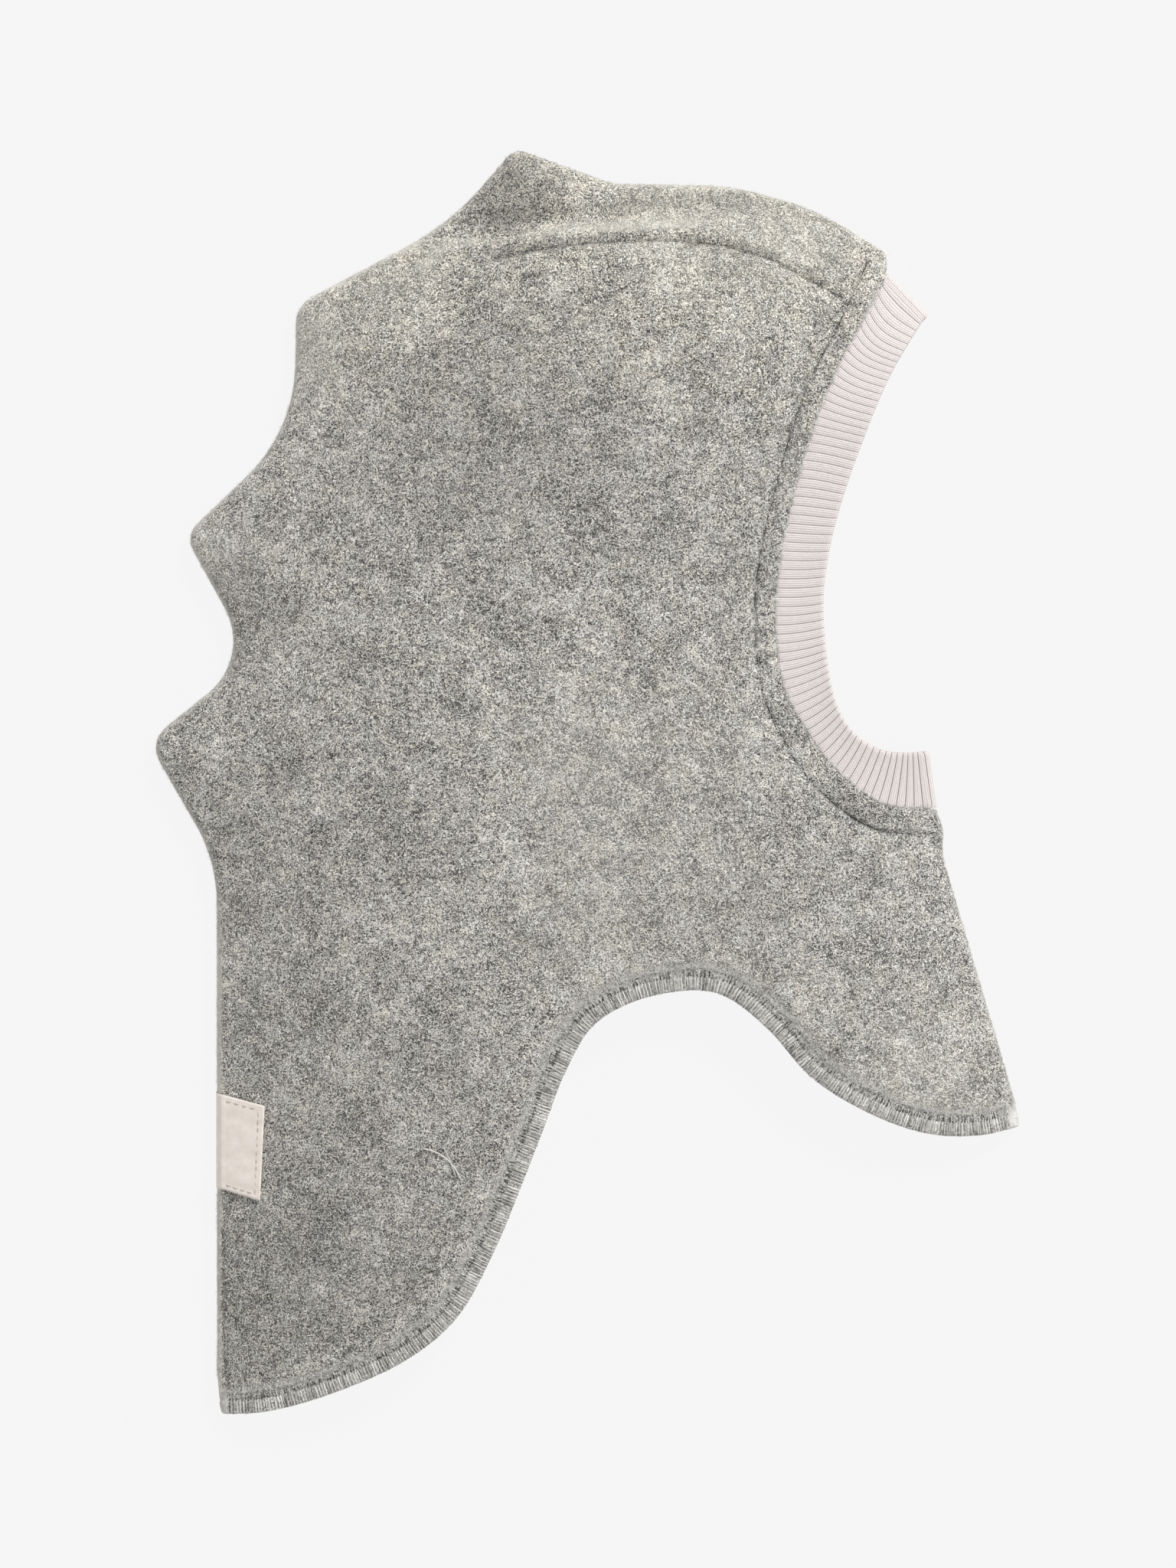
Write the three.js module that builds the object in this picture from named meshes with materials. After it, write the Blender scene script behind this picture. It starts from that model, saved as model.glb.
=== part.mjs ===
// Baby hood with four soft spikes, lying flat on its left side.
// Two dart-shaped fleece halves, a ribbed band round the face opening, an overlocked
// hem and a woven label that wraps the centre-back edge.
// Millimetres. +X points to the face, +Y to the crown and +Z up from the surface it lies on.

import * as THREE from 'three';

// Cloth thicknesses, and the clearance between neighbouring pieces
const FLEECE = 2.8;
const RIB_KNIT = 2.4;
const OVERLOCK = 2.3;
const LABEL_CLOTH = 0.6;
const CLEARANCE = 0.3;

// Widths of the sewn parts
const HEM_WIDTH = 7.3;
const FACING_WIDTH = 6.5;
const SEAM_ROUND = 2.5;

// Space between the two layers of cloth: it grows from the closed edges to the full
// height of the head, and is lower again towards the free edges
const HEAD_HEIGHT = 13;
const HEAD_REACH = 60;
const MOUTH_SHARE = 0.68;
const MOUTH_REACH = 60;

// Stitched grooves, the soft fold under the front spike and the puffed strip beside it
const GROOVE_HALF = 1.8;
const DART_DEPTH = 1.3;
const DART_FADE = 40;
const FACING_DEPTH = 0.9;
const FOLD_DEPTH = 1.8;
const FOLD_SPREAD = 5;

// Ribs of the face band
const RIB_COUNT = 68;
const RIB_DEPTH = 0.22;

// Woven label: its length along the edge, its leg on each side, its skew and its place
const LABEL_HALF_LENGTH = 13.9;
const LABEL_LEG = 13.8;
const LABEL_SKEW = 3.6;
const LABEL_MIDDLE = -104.4;
const LABEL_DENT = 0.95;
const LABEL_EASE = 0.4;

// Mesh steps
const EDGE_STEP = 9;
const ARC_STEP = 0.32;
const SAMPLE_STEP = 1;
const UPPER_GRID = 9;
const LINING_GRID = 14;
const LOWER_GRID = 24;
const HEM_STATIONS = 84;
const TURN_ANGLES = [-45, 0, 45];

// Closed edge from the face over the crown and the four spikes down the back:
// corners and the radius that each is rounded to
const BACK_EDGE = [
  { x: 87.6, y: 150.1, r: 0 },
  { x: 87.6, y: 155.9, r: 2.7 },
  { x: 67.4, y: 168.3, r: 58.5 },
  { x: 43.1, y: 175.7, r: 74.2 },
  { x: 7.1, y: 176.4, r: 4.5 },
  { x: -21.7, y: 186.8, r: 5 },
  { x: -40.2, y: 164.9, r: 80 },
  { x: -85.9, y: 140.5, r: 8.6 },
  { x: -86.4, y: 103.9, r: 46 },
  { x: -118.6, y: 72.9, r: 6.5 },
  { x: -98.8, y: 37.1, r: 19.6 },
  { x: -129.5, y: 12.4, r: 8.1 },
  { x: -109.2, y: -22.5, r: 47.2 },
  { x: -109.1, y: -173.5, r: 3 },
];

// Closed chest edge from the hem up to the face
const CHEST_EDGE = [
  { x: 103.9, y: -20.7, r: 13.5 },
  { x: 104.3, y: -13.4, r: 4.5 },
  { x: 102.2, y: -7.7, r: 0 },
];

// Seam between fleece and rib band, from the chin up to the forehead
const FACE_SEAM = [
  { x: 102.2, y: -7.7 },
  { x: 85.8, y: -5.9 },
  { x: 71.9, y: 4.5 },
  { x: 62.7, y: 16.7 },
  { x: 56.6, y: 28.8 },
  { x: 54.3, y: 53.1 },
  { x: 59.3, y: 83.7 },
  { x: 70.1, y: 116.8 },
  { x: 87.6, y: 150.1 },
];

// Free edge of the rib band, from the chin up to the forehead
const OPENING_EDGE = [
  { x: 99.9, y: 9.7 },
  { x: 93, y: 9.2 },
  { x: 85.8, y: 10.1 },
  { x: 78.4, y: 14.4 },
  { x: 72.6, y: 23.4 },
  { x: 68.7, y: 50.4 },
  { x: 70.5, y: 68.4 },
  { x: 75.3, y: 86.4 },
  { x: 85.5, y: 113.4 },
  { x: 89.9, y: 122.4 },
  { x: 99.4, y: 138 },
];

// Free edge of the hem, from the centre back over the shoulder to the centre front
const HEM_EDGE = [
  { x: -107.9, y: -185.2 },
  { x: -93.7, y: -183.8 },
  { x: -73, y: -177.5 },
  { x: -52.3, y: -167.8 },
  { x: -38.8, y: -156.4 },
  { x: -28.5, y: -138.6 },
  { x: -13.8, y: -102.6 },
  { x: -6.9, y: -84.6 },
  { x: 1.2, y: -70.9 },
  { x: 13.6, y: -63.5 },
  { x: 31.4, y: -60.3 },
  { x: 40.4, y: -62.3 },
  { x: 52.8, y: -72 },
  { x: 64.9, y: -85.5 },
  { x: 80.7, y: -95.6 },
  { x: 98.7, y: -102.2 },
  { x: 114.4, y: -103 },
  { x: 126.8, y: -100.6 },
];

// Dart seam from the facing back under the front spike
const DART_SEAM = [
  { x: 73.5, y: 142.5 },
  { x: 64.9, y: 147.2 },
  { x: 51, y: 154.1 },
  { x: 32.7, y: 158.2 },
  { x: 4.6, y: 158.4 },
  { x: -16.8, y: 155.7 },
  { x: -40.2, y: 150.1 },
];

// Soft fold between the front spike and the puffed strip above the dart
const SPIKE_FOLD = [
  { x: 43.3, y: 170.8 },
  { x: 26.2, y: 167.6 },
  { x: 4.6, y: 164.9 },
  { x: -16.8, y: 160.7 },
  { x: -37.2, y: 158.6 },
];

const FLEECE_GREY = '#a6a39d';
const RIB_CREAM = '#d9d1ce';
const THREAD_GREY = '#918f8a';
const LABEL_CREAM = '#dcd2c8';

// Plane curves as lists of points

function unitVector(from, to) {
  return new THREE.Vector2(to.x - from.x, to.y - from.y).normalize();
}

// Points at equal distances along a path, left clear of its two ends by the inset.
function spaced(path, count, inset = 0) {
  const lengths = [0];
  for (let i = 1; i < path.length; i++) {
    lengths.push(lengths[i - 1] + path[i].distanceTo(path[i - 1]));
  }
  const total = lengths[lengths.length - 1];
  const points = [];
  let segment = 1;
  for (let k = 0; k <= count; k++) {
    const place = inset + (total - 2 * inset) * (k / count);
    while (segment < path.length - 1 && lengths[segment] < place) segment++;
    const share = (place - lengths[segment - 1]) / (lengths[segment] - lengths[segment - 1]);
    points.push(path[segment - 1].clone().lerp(path[segment], share));
  }
  return points;
}

function pathLength(path) {
  return path.slice(1).reduce((sum, point, i) => sum + point.distanceTo(path[i]), 0);
}

function resample(path, step) {
  return spaced(path, Math.ceil(pathLength(path) / step));
}

// Smooth path through the rows of a table.
function smoothPath(rows, step) {
  const anchors = rows.map(({ x, y }) => new THREE.Vector3(x, y, 0));
  const curve = new THREE.CatmullRomCurve3(anchors, false, 'centripetal');
  const fine = curve.getSpacedPoints(400).map((point) => new THREE.Vector2(point.x, point.y));
  return resample(fine, step);
}

// Straight sides with each corner rounded to its radius.
function roundedPath(corners, step) {
  const path = [];
  corners.forEach((corner, i) => {
    const here = new THREE.Vector2(corner.x, corner.y);
    const last = path[path.length - 1];
    if (i === 0 || i === corners.length - 1 || corner.r === 0) {
      addStraight(path, last, here, step);
      return;
    }
    const before = unitVector(corner, corners[i - 1]);
    const after = unitVector(corner, corners[i + 1]);
    const half = Math.acos(before.dot(after)) / 2;
    const reach = corner.r / Math.tan(half);
    const start = before.clone().multiplyScalar(reach).add(here);
    const middle = before.clone().add(after).normalize();
    const centre = middle.multiplyScalar(corner.r / Math.sin(half)).add(here);
    const side = Math.sign(after.cross(before));
    const turn = side * (Math.PI - 2 * half);
    const steps = Math.max(1, Math.ceil(Math.abs(turn) / ARC_STEP));
    addStraight(path, last, start, step);
    for (let k = 1; k <= steps; k++) {
      path.push(start.clone().rotateAround(centre, (turn * k) / steps));
    }
  });
  return path;
}

function addStraight(path, from, to, step) {
  const count = from ? Math.ceil(from.distanceTo(to) / step) : 1;
  for (let k = 1; k <= count; k++) {
    path.push(from ? from.clone().lerp(to, k / count) : to);
  }
}

// The path moved to its left by a distance.
function offsetPath(path, distance) {
  return path.map((point, i) => {
    const before = path[Math.max(i - 1, 0)];
    const after = path[Math.min(i + 1, path.length - 1)];
    const along = unitVector(before, after);
    return new THREE.Vector2(point.x - along.y * distance, point.y + along.x * distance);
  });
}

function distanceTo(path, x, y) {
  let nearest = Infinity;
  for (let i = 1; i < path.length; i++) {
    const a = path[i - 1];
    const b = path[i];
    const dx = b.x - a.x;
    const dy = b.y - a.y;
    const along = ((x - a.x) * dx + (y - a.y) * dy) / (dx * dx + dy * dy);
    const share = THREE.MathUtils.clamp(along, 0, 1);
    nearest = Math.min(nearest, Math.hypot(a.x + share * dx - x, a.y + share * dy - y));
  }
  return nearest;
}

// Distance to an edge that stays smooth between two of its sides.
function softDistance(samples, x, y) {
  let nearness = 0;
  for (const sample of samples) {
    const square = (sample.x - x) ** 2 + (sample.y - y) ** 2 + 1e-6;
    nearness += SAMPLE_STEP / (square * square);
  }
  return Math.cbrt(Math.PI / (2 * nearness));
}

function insidePolygon(polygon, x, y) {
  let inside = false;
  polygon.forEach((a, i) => {
    const b = polygon[(i + 1) % polygon.length];
    const crosses = a.y > y !== b.y > y;
    if (crosses && x < a.x + ((y - a.y) / (b.y - a.y)) * (b.x - a.x)) inside = !inside;
  });
  return inside;
}

// The outline of the fleece, which turns anticlockwise from the centre-back hem

const hemEdge = smoothPath(HEM_EDGE, 2);
const hemSeam = offsetPath(hemEdge, HEM_WIDTH + CLEARANCE);
const openingEdge = smoothPath(OPENING_EDGE, 2);
const faceSeam = smoothPath(FACE_SEAM, 2);
const backCorner = { x: hemSeam[0].x, y: hemSeam[0].y, r: 0 };
const frontCorner = { x: hemSeam[hemSeam.length - 1].x, y: hemSeam[hemSeam.length - 1].y, r: 0 };
const chestEdge = [frontCorner, ...CHEST_EDGE];
const backEdge = [...BACK_EDGE, backCorner];

// Each side of the outline: whether the two layers are joined there.
const outlineSides = [
  { path: resample(hemSeam, 7), joined: false },
  { path: roundedPath(chestEdge, EDGE_STEP), joined: true },
  { path: resample(faceSeam, 7), joined: false },
  { path: roundedPath(backEdge, EDGE_STEP), joined: true },
];

const closedSamples = [
  ...resample([...roundedPath(chestEdge, 2), openingEdge[0]], SAMPLE_STEP),
  ...resample([openingEdge[openingEdge.length - 1], ...roundedPath(backEdge, 2)], SAMPLE_STEP),
  ...resample([hemSeam[0], hemEdge[0]], SAMPLE_STEP),
  ...resample([hemSeam[hemSeam.length - 1], hemEdge[hemEdge.length - 1]], SAMPLE_STEP),
];
const freeSamples = [
  ...resample(hemEdge, SAMPLE_STEP),
  ...resample(openingEdge, SAMPLE_STEP),
];
const dartSeam = smoothPath(DART_SEAM, 5);
const spikeFold = smoothPath(SPIKE_FOLD, 5);
const facingSeam = resample(offsetPath(faceSeam, FACING_WIDTH), 5);

// Heights

// Clear height between the two layers of cloth.
function layerGap(x, y) {
  const closed = Math.min(softDistance(closedSamples, x, y) / HEAD_REACH, 1);
  const free = softDistance(freeSamples, x, y);
  const rise = closed * (2 - closed);
  const mouth = THREE.MathUtils.lerp(MOUTH_SHARE, 1, THREE.MathUtils.smoothstep(free, 0, MOUTH_REACH));
  const fold = FOLD_DEPTH * Math.exp(-((distanceTo(spikeFold, x, y) / FOLD_SPREAD) ** 2));
  return CLEARANCE + Math.max(HEAD_HEIGHT * rise * mouth - fold * Math.min(closed * 6, 1), 0);
}

// Depth of the dart and facing grooves in the upper face.
function grooveDepth(x, y) {
  const toFade = Math.hypot(x - DART_SEAM.at(-1).x, y - DART_SEAM.at(-1).y);
  const dart = DART_DEPTH * Math.min(toFade / DART_FADE, 1);
  const sharp = (path) => Math.exp(-((distanceTo(path, x, y) / 1.1) ** 2));
  return Math.max(dart * sharp(dartSeam), FACING_DEPTH * sharp(facingSeam));
}

// Lift of the lower face over the leg of the label that it lies on.
function labelDent(x, y) {
  const across = THREE.MathUtils.smoothstep(x, -LABEL_DENT_EDGE.far, -LABEL_DENT_EDGE.near);
  const along = Math.abs(y - LABEL_DENT_EDGE.middle);
  const past = THREE.MathUtils.smoothstep(along, LABEL_DENT_EDGE.half, LABEL_DENT_EDGE.half + 4);
  return LABEL_DENT * (1 - across) * (1 - past);
}

const LABEL_DENT_EDGE = {
  far: -BACK_EDGE.at(-1).x - LABEL_LEG - 1,
  near: -BACK_EDGE.at(-1).x - LABEL_LEG - 5,
  middle: LABEL_MIDDLE + LABEL_SKEW / 2,
  half: LABEL_HALF_LENGTH + LABEL_SKEW / 2 + 1,
};

// Closed meshes

// Delaunay triangles of plane points, as index triples that turn anticlockwise.
function delaunay(points) {
  const far = 1e5;
  const frame = [new THREE.Vector2(-far, -far), new THREE.Vector2(far, -far), new THREE.Vector2(0, far)];
  const all = [...points, ...frame];
  let triangles = [circled(all, points.length, points.length + 1, points.length + 2)];
  points.forEach((point, index) => {
    const border = new Map();
    triangles = triangles.filter((triangle) => {
      if (point.distanceToSquared(triangle.centre) >= triangle.square) return true;
      const [a, b, c] = triangle.corners;
      [[a, b], [b, c], [c, a]].forEach(([from, to]) => {
        if (!border.delete(`${to} ${from}`)) border.set(`${from} ${to}`, [from, to]);
      });
      return false;
    });
    border.forEach(([from, to]) => triangles.push(circled(all, from, to, index)));
  });
  return triangles.map(({ corners }) => corners).filter((corners) => Math.max(...corners) < points.length);
}

// A triangle with its circumcircle.
function circled(points, a, b, c) {
  const ab = points[b].clone().sub(points[a]);
  const ac = points[c].clone().sub(points[a]);
  const area = 2 * ab.cross(ac);
  const x = (ac.y * ab.lengthSq() - ab.y * ac.lengthSq()) / area;
  const y = (ab.x * ac.lengthSq() - ac.x * ab.lengthSq()) / area;
  const centre = new THREE.Vector2(x, y).add(points[a]);
  return { corners: [a, b, c], centre, square: x * x + y * y };
}

// Triangles over the points of a ring and the points inside it.
function fillRing(ring, within) {
  const points = [...ring, ...within];
  return delaunay(points).filter(([a, b, c]) => {
    const x = (points[a].x + points[b].x + points[c].x) / 3;
    const y = (points[a].y + points[b].y + points[c].y) / 3;
    return insidePolygon(ring, x, y);
  });
}

// A staggered grid inside a ring that keeps off the ring and off the given points.
function gridInside(ring, spacing, kept) {
  const closedRing = [...ring, ring[0]];
  const rowStep = spacing * Math.sin(Math.PI / 3);
  const points = kept.filter((point) => {
    return insidePolygon(ring, point.x, point.y) && distanceTo(closedRing, point.x, point.y) > 2;
  });
  const fixed = [...points];
  for (let row = 0; row * rowStep < 380; row++) {
    for (let column = 0; column * spacing < 280; column++) {
      const x = -138 + (column + (row % 2) / 2) * spacing;
      const y = -190 + row * rowStep;
      const clearOfRing = insidePolygon(ring, x, y) && distanceTo(closedRing, x, y) > spacing * 0.55;
      const clearOfRows = fixed.every((point) => Math.hypot(point.x - x, point.y - y) > spacing * 0.5);
      if (clearOfRing && clearOfRows) points.push(new THREE.Vector2(x, y));
    }
  }
  return points;
}

// A solid from corners and triangles, with its faces pointing out.
function solid(corners, triangles) {
  const volume = triangles.reduce((sum, [a, b, c]) => {
    return sum + corners[a].dot(new THREE.Vector3().crossVectors(corners[b], corners[c]));
  }, 0);
  const faces = volume > 0 ? triangles : triangles.map(([a, b, c]) => [a, c, b]);
  const geometry = new THREE.BufferGeometry().setFromPoints(corners);
  geometry.setIndex(faces.flat());
  geometry.computeVertexNormals();
  return geometry;
}

// The rings of a fleece half: how far each lies in from the edge and how much of the
// cloth's thickness it has reached, on a joined, rounded edge and on a free one.
const EDGE_RINGS = [
  { joinedInset: 0, joinedRise: 0, freeInset: 0, freeRise: 0 },
  { joinedInset: 0.8, joinedRise: 0.73, freeInset: 0, freeRise: 0.8 },
  { joinedInset: SEAM_ROUND, joinedRise: 1, freeInset: 0.6, freeRise: 1 },
];

// The points of the outline, each with the sides that meet in it.
function outlinePoints() {
  return outlineSides.flatMap(({ path, joined }, side) => {
    const previous = outlineSides[(side + 3) % 4];
    return path.slice(0, -1).map((point, i) => ({
      point,
      before: i > 0 ? path[i - 1] : previous.path.at(-2),
      after: path[i + 1],
      joinedBefore: i > 0 ? joined : previous.joined,
      joinedAfter: joined,
    }));
  });
}

// One ring, moved in from both sides that meet in each of its points.
function edgeRing({ joinedInset, joinedRise, freeInset, freeRise }) {
  return outlinePoints().map(({ point, before, after, joinedBefore, joinedAfter }) => {
    const first = unitVector(before, point);
    const second = unitVector(point, after);
    const firstInset = joinedBefore ? joinedInset : freeInset;
    const secondInset = joinedAfter ? joinedInset : freeInset;
    const bend = first.cross(second);
    const flat = point.clone();
    if (Math.abs(bend) < 0.05) {
      flat.x -= second.y * secondInset;
      flat.y += second.x * secondInset;
    } else {
      flat.addScaledVector(second, firstInset / bend);
      flat.addScaledVector(first, -secondInset / bend);
    }
    return { flat, rise: joinedAfter && joinedBefore ? joinedRise : freeRise };
  });
}

// A fleece half between its lining face and its outer face.
function fleeceHalf({ liningHeight, outerHeight, grid, liningGrid, kept }) {
  const rings = EDGE_RINGS.map(edgeRing);
  const count = rings[0].length;
  const corners = [];
  const triangles = [];
  rings.forEach((ring) => ring.forEach(({ flat, rise }) => {
    const lining = liningHeight(flat.x, flat.y);
    const outer = outerHeight(flat.x, flat.y);
    corners.push(new THREE.Vector3(flat.x, flat.y, THREE.MathUtils.lerp(lining, outer, rise)));
  }));
  for (let ring = 0; ring < rings.length - 1; ring++) {
    for (let i = 0; i < count; i++) {
      const next = (i + 1) % count;
      const low = ring * count;
      const high = low + count;
      triangles.push([low + i, low + next, high + next], [low + i, high + next, high + i]);
    }
  }
  const top = rings.at(-1).map(({ flat }) => flat);
  const topStart = count * (rings.length - 1);
  const outerPoints = gridInside(top, grid, kept);
  fillRing(top, outerPoints).forEach((triangle) => triangles.push(triangle.map((i) => topStart + i)));
  outerPoints.forEach(({ x, y }) => corners.push(new THREE.Vector3(x, y, outerHeight(x, y))));

  const base = rings[0].map(({ flat }) => flat);
  const liningPoints = gridInside(base, liningGrid, []);
  const liningStart = corners.length - count;
  fillRing(base, liningPoints).forEach(([a, b, c]) => {
    triangles.push([c, b, a].map((i) => (i < count ? i : liningStart + i)));
  });
  liningPoints.forEach(({ x, y }) => corners.push(new THREE.Vector3(x, y, liningHeight(x, y))));
  return solid(corners, triangles);
}

// The three rows of points that a groove needs: its two shoulders and its bottom.
function grooveRows(path) {
  return [-GROOVE_HALF, 0, GROOVE_HALF].flatMap((side) => offsetPath(path, side));
}

function upperHalf() {
  return fleeceHalf({
    liningHeight: (x, y) => FLEECE + layerGap(x, y),
    outerHeight: (x, y) => 2 * FLEECE + layerGap(x, y) - grooveDepth(x, y),
    grid: UPPER_GRID,
    liningGrid: LINING_GRID,
    kept: [...grooveRows(facingSeam), ...grooveRows(dartSeam.slice(1))],
  });
}

function lowerHalf() {
  const { far, near, middle, half } = LABEL_DENT_EDGE;
  const dentRows = [-far, -near].flatMap((x) => {
    return [-half - 4, -half, 0, half, half + 4].map((along) => new THREE.Vector2(x, middle + along));
  });
  return fleeceHalf({
    liningHeight: () => FLEECE,
    outerHeight: labelDent,
    grid: LOWER_GRID,
    liningGrid: LOWER_GRID,
    kept: dentRows,
  });
}

// Section of a strip: across from its seam to its free edge, and through its thickness.
const STRIP_SECTION = [
  { across: 0, depth: 0 },
  { across: 0.93, depth: 0 },
  { across: 1, depth: 0.5 },
  { across: 0.93, depth: 1 },
  { across: 0, depth: 1 },
];

// A strip that runs along the lower layer, turns over its folded end, and comes back
// along the upper layer to its other folded end.
function foldedLoop({ seam, edge, stations, thickness, ribDepth }) {
  const inset = thickness + CLEARANCE;
  const near = spaced(seam, stations, inset);
  const far = spaced(edge, stations, inset);
  const rings = [];

  function addSection(station, angle, facing, rib) {
    const out = unitVector(near[station], far[station]).rotateAround(new THREE.Vector2(), facing);
    const turn = THREE.MathUtils.degToRad(angle);
    rings.push(STRIP_SECTION.map(({ across, depth }) => {
      const flat = near[station].clone().lerp(far[station], across);
      const halfGap = layerGap(flat.x, flat.y) / 2;
      const radius = halfGap + thickness * depth * (1 - rib);
      const reach = radius * Math.cos(turn);
      const height = thickness + halfGap + radius * Math.sin(turn);
      return new THREE.Vector3(flat.x + out.x * reach, flat.y + out.y * reach, height);
    }));
  }

  const ribAt = (station) => (station % 2 ? ribDepth : 0);
  for (let i = 0; i <= stations; i++) addSection(i, -90, 0, ribAt(i));
  TURN_ANGLES.forEach((angle) => addSection(stations, angle, Math.PI / 2, ribDepth / 2));
  for (let i = stations; i >= 0; i--) addSection(i, 90, 0, ribAt(i));
  TURN_ANGLES.toReversed().forEach((angle) => addSection(0, angle, -Math.PI / 2, ribDepth / 2));

  const size = STRIP_SECTION.length;
  const triangles = [];
  rings.forEach((ring, i) => {
    const here = i * size;
    const there = ((i + 1) % rings.length) * size;
    ring.forEach((corner, k) => {
      const next = (k + 1) % size;
      triangles.push([here + k, here + next, there + next], [here + k, there + next, there + k]);
    });
  });
  return solid(rings.flat(), triangles);
}

function faceBand() {
  return foldedLoop({
    seam: offsetPath(faceSeam, -CLEARANCE),
    edge: openingEdge,
    stations: 2 * RIB_COUNT,
    thickness: RIB_KNIT,
    ribDepth: RIB_DEPTH,
  });
}

function hemOverlock() {
  return foldedLoop({
    seam: offsetPath(hemEdge, HEM_WIDTH),
    edge: hemEdge,
    stations: HEM_STATIONS,
    thickness: OVERLOCK,
    ribDepth: 0,
  });
}

// The label: a strip that lies on the upper half, wraps the back edge and ends underneath.
function label() {
  const edgeX = BACK_EDGE.at(-1).x;
  const foldX = edgeX + SEAM_ROUND;
  const foldHeight = FLEECE + CLEARANCE / 2;
  const foldReach = SEAM_ROUND + LABEL_EASE;
  const legSteps = [1, 0.7, 0.4, 0.12];
  const top = (x, y) => 2 * FLEECE + layerGap(x, y) + LABEL_EASE;
  const corners = [];

  function addSection(wrap, place) {
    const middle = LABEL_MIDDLE - LABEL_SKEW * wrap;
    [middle - LABEL_HALF_LENGTH, middle + LABEL_HALF_LENGTH].forEach((y) => {
      corners.push(place(y, 0), place(y, LABEL_CLOTH));
    });
  }

  legSteps.forEach((step) => {
    const x = edgeX + LABEL_LEG * step;
    addSection(step, (y, skin) => new THREE.Vector3(x, y, top(x, y) + skin));
  });
  [90, 60, 30, 0, -30, -60, -90].forEach((angle) => {
    const turn = THREE.MathUtils.degToRad(angle);
    addSection(0.1 * Math.sin(turn), (y, skin) => {
      const rise = angle > 0 ? top(foldX, y) - foldHeight : foldHeight - LABEL_CLOTH;
      const x = foldX - (foldReach + skin) * Math.cos(turn);
      return new THREE.Vector3(x, y, foldHeight + (rise + skin) * Math.sin(turn));
    });
  });
  legSteps.toReversed().slice(1).forEach((step) => {
    const x = edgeX + LABEL_LEG * step;
    addSection(-step, (y, skin) => new THREE.Vector3(x, y, LABEL_CLOTH - skin));
  });

  const triangles = [];
  const around = [0, 2, 3, 1];
  const sections = corners.length / 4;
  for (let i = 0; i < sections - 1; i++) {
    around.forEach((corner, k) => {
      const next = around[(k + 1) % 4];
      const here = i * 4;
      triangles.push([here + corner, here + next, here + 4 + next]);
      triangles.push([here + corner, here + 4 + next, here + 4 + corner]);
    });
  }
  const last = (sections - 1) * 4;
  triangles.push([0, 1, 3], [0, 3, 2], [last, last + 3, last + 1], [last, last + 2, last + 3]);
  return solid(corners, triangles);
}

// The hood, with the middle of its outline over the origin

const fleeceMaterial = new THREE.MeshStandardMaterial({ color: FLEECE_GREY, roughness: 0.95 });
const ribMaterial = new THREE.MeshStandardMaterial({ color: RIB_CREAM, roughness: 0.85 });
const threadMaterial = new THREE.MeshStandardMaterial({ color: THREAD_GREY, roughness: 0.8 });
const labelMaterial = new THREE.MeshStandardMaterial({ color: LABEL_CREAM, roughness: 0.5 });

function addPiece(parent, name, geometry, material) {
  const piece = new THREE.Mesh(geometry, material);
  piece.name = name;
  parent.add(piece);
}

const hood = new THREE.Group();
addPiece(hood, 'shell_right', upperHalf(), fleeceMaterial);
addPiece(hood, 'shell_left', lowerHalf(), fleeceMaterial);
addPiece(hood, 'face_band', faceBand(), ribMaterial);
addPiece(hood, 'hem_overlock', hemOverlock(), threadMaterial);
addPiece(hood, 'label', label(), labelMaterial);

const middle = new THREE.Box3().setFromObject(hood).getCenter(new THREE.Vector3());
hood.children.forEach((piece) => piece.position.set(-middle.x, -middle.y, 0));

export default hood;
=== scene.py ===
"""Baby hood of brushed grey wool fleece with four soft spikes, lying flat on its left side.

Lengths in the tables are millimetres in the hood's own frame: +X to the face, +Y to the
crown, +Z up from the surface. Meshes are turned into metres when they are made.
"""

import math

import bpy
import numpy as np
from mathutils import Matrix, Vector, noise
from mathutils.geometry import delaunay_2d_cdt


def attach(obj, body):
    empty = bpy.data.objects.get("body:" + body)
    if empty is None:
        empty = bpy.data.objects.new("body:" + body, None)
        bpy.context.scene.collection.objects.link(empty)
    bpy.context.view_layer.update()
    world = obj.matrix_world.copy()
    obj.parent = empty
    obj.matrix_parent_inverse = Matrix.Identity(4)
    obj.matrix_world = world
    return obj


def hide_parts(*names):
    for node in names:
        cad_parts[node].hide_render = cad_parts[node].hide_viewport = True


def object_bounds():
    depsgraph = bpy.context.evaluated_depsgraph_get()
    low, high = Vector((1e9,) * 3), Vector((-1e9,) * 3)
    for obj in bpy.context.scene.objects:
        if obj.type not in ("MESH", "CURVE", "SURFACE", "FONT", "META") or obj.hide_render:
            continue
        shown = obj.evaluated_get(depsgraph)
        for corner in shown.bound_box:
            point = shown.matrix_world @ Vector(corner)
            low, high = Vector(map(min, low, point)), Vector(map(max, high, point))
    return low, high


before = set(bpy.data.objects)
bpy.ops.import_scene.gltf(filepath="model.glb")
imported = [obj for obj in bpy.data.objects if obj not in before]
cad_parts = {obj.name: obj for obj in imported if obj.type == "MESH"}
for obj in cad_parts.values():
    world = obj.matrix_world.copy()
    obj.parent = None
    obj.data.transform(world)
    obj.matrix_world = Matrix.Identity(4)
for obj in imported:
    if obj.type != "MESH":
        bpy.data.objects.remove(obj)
cad_low, cad_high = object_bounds()

MM = 0.001

# Photograph: height in pixels, and the size of one pixel where the hood lies
PHOTO_HEIGHT = 2048
PIXEL = 0.225
PHOTO_CENTRE = (-0.5 * PIXEL, 0.0)
CAMERA_DISTANCE = 1700.0
SENSOR = 36.0
SEAM_HEIGHT = 3.0

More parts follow.
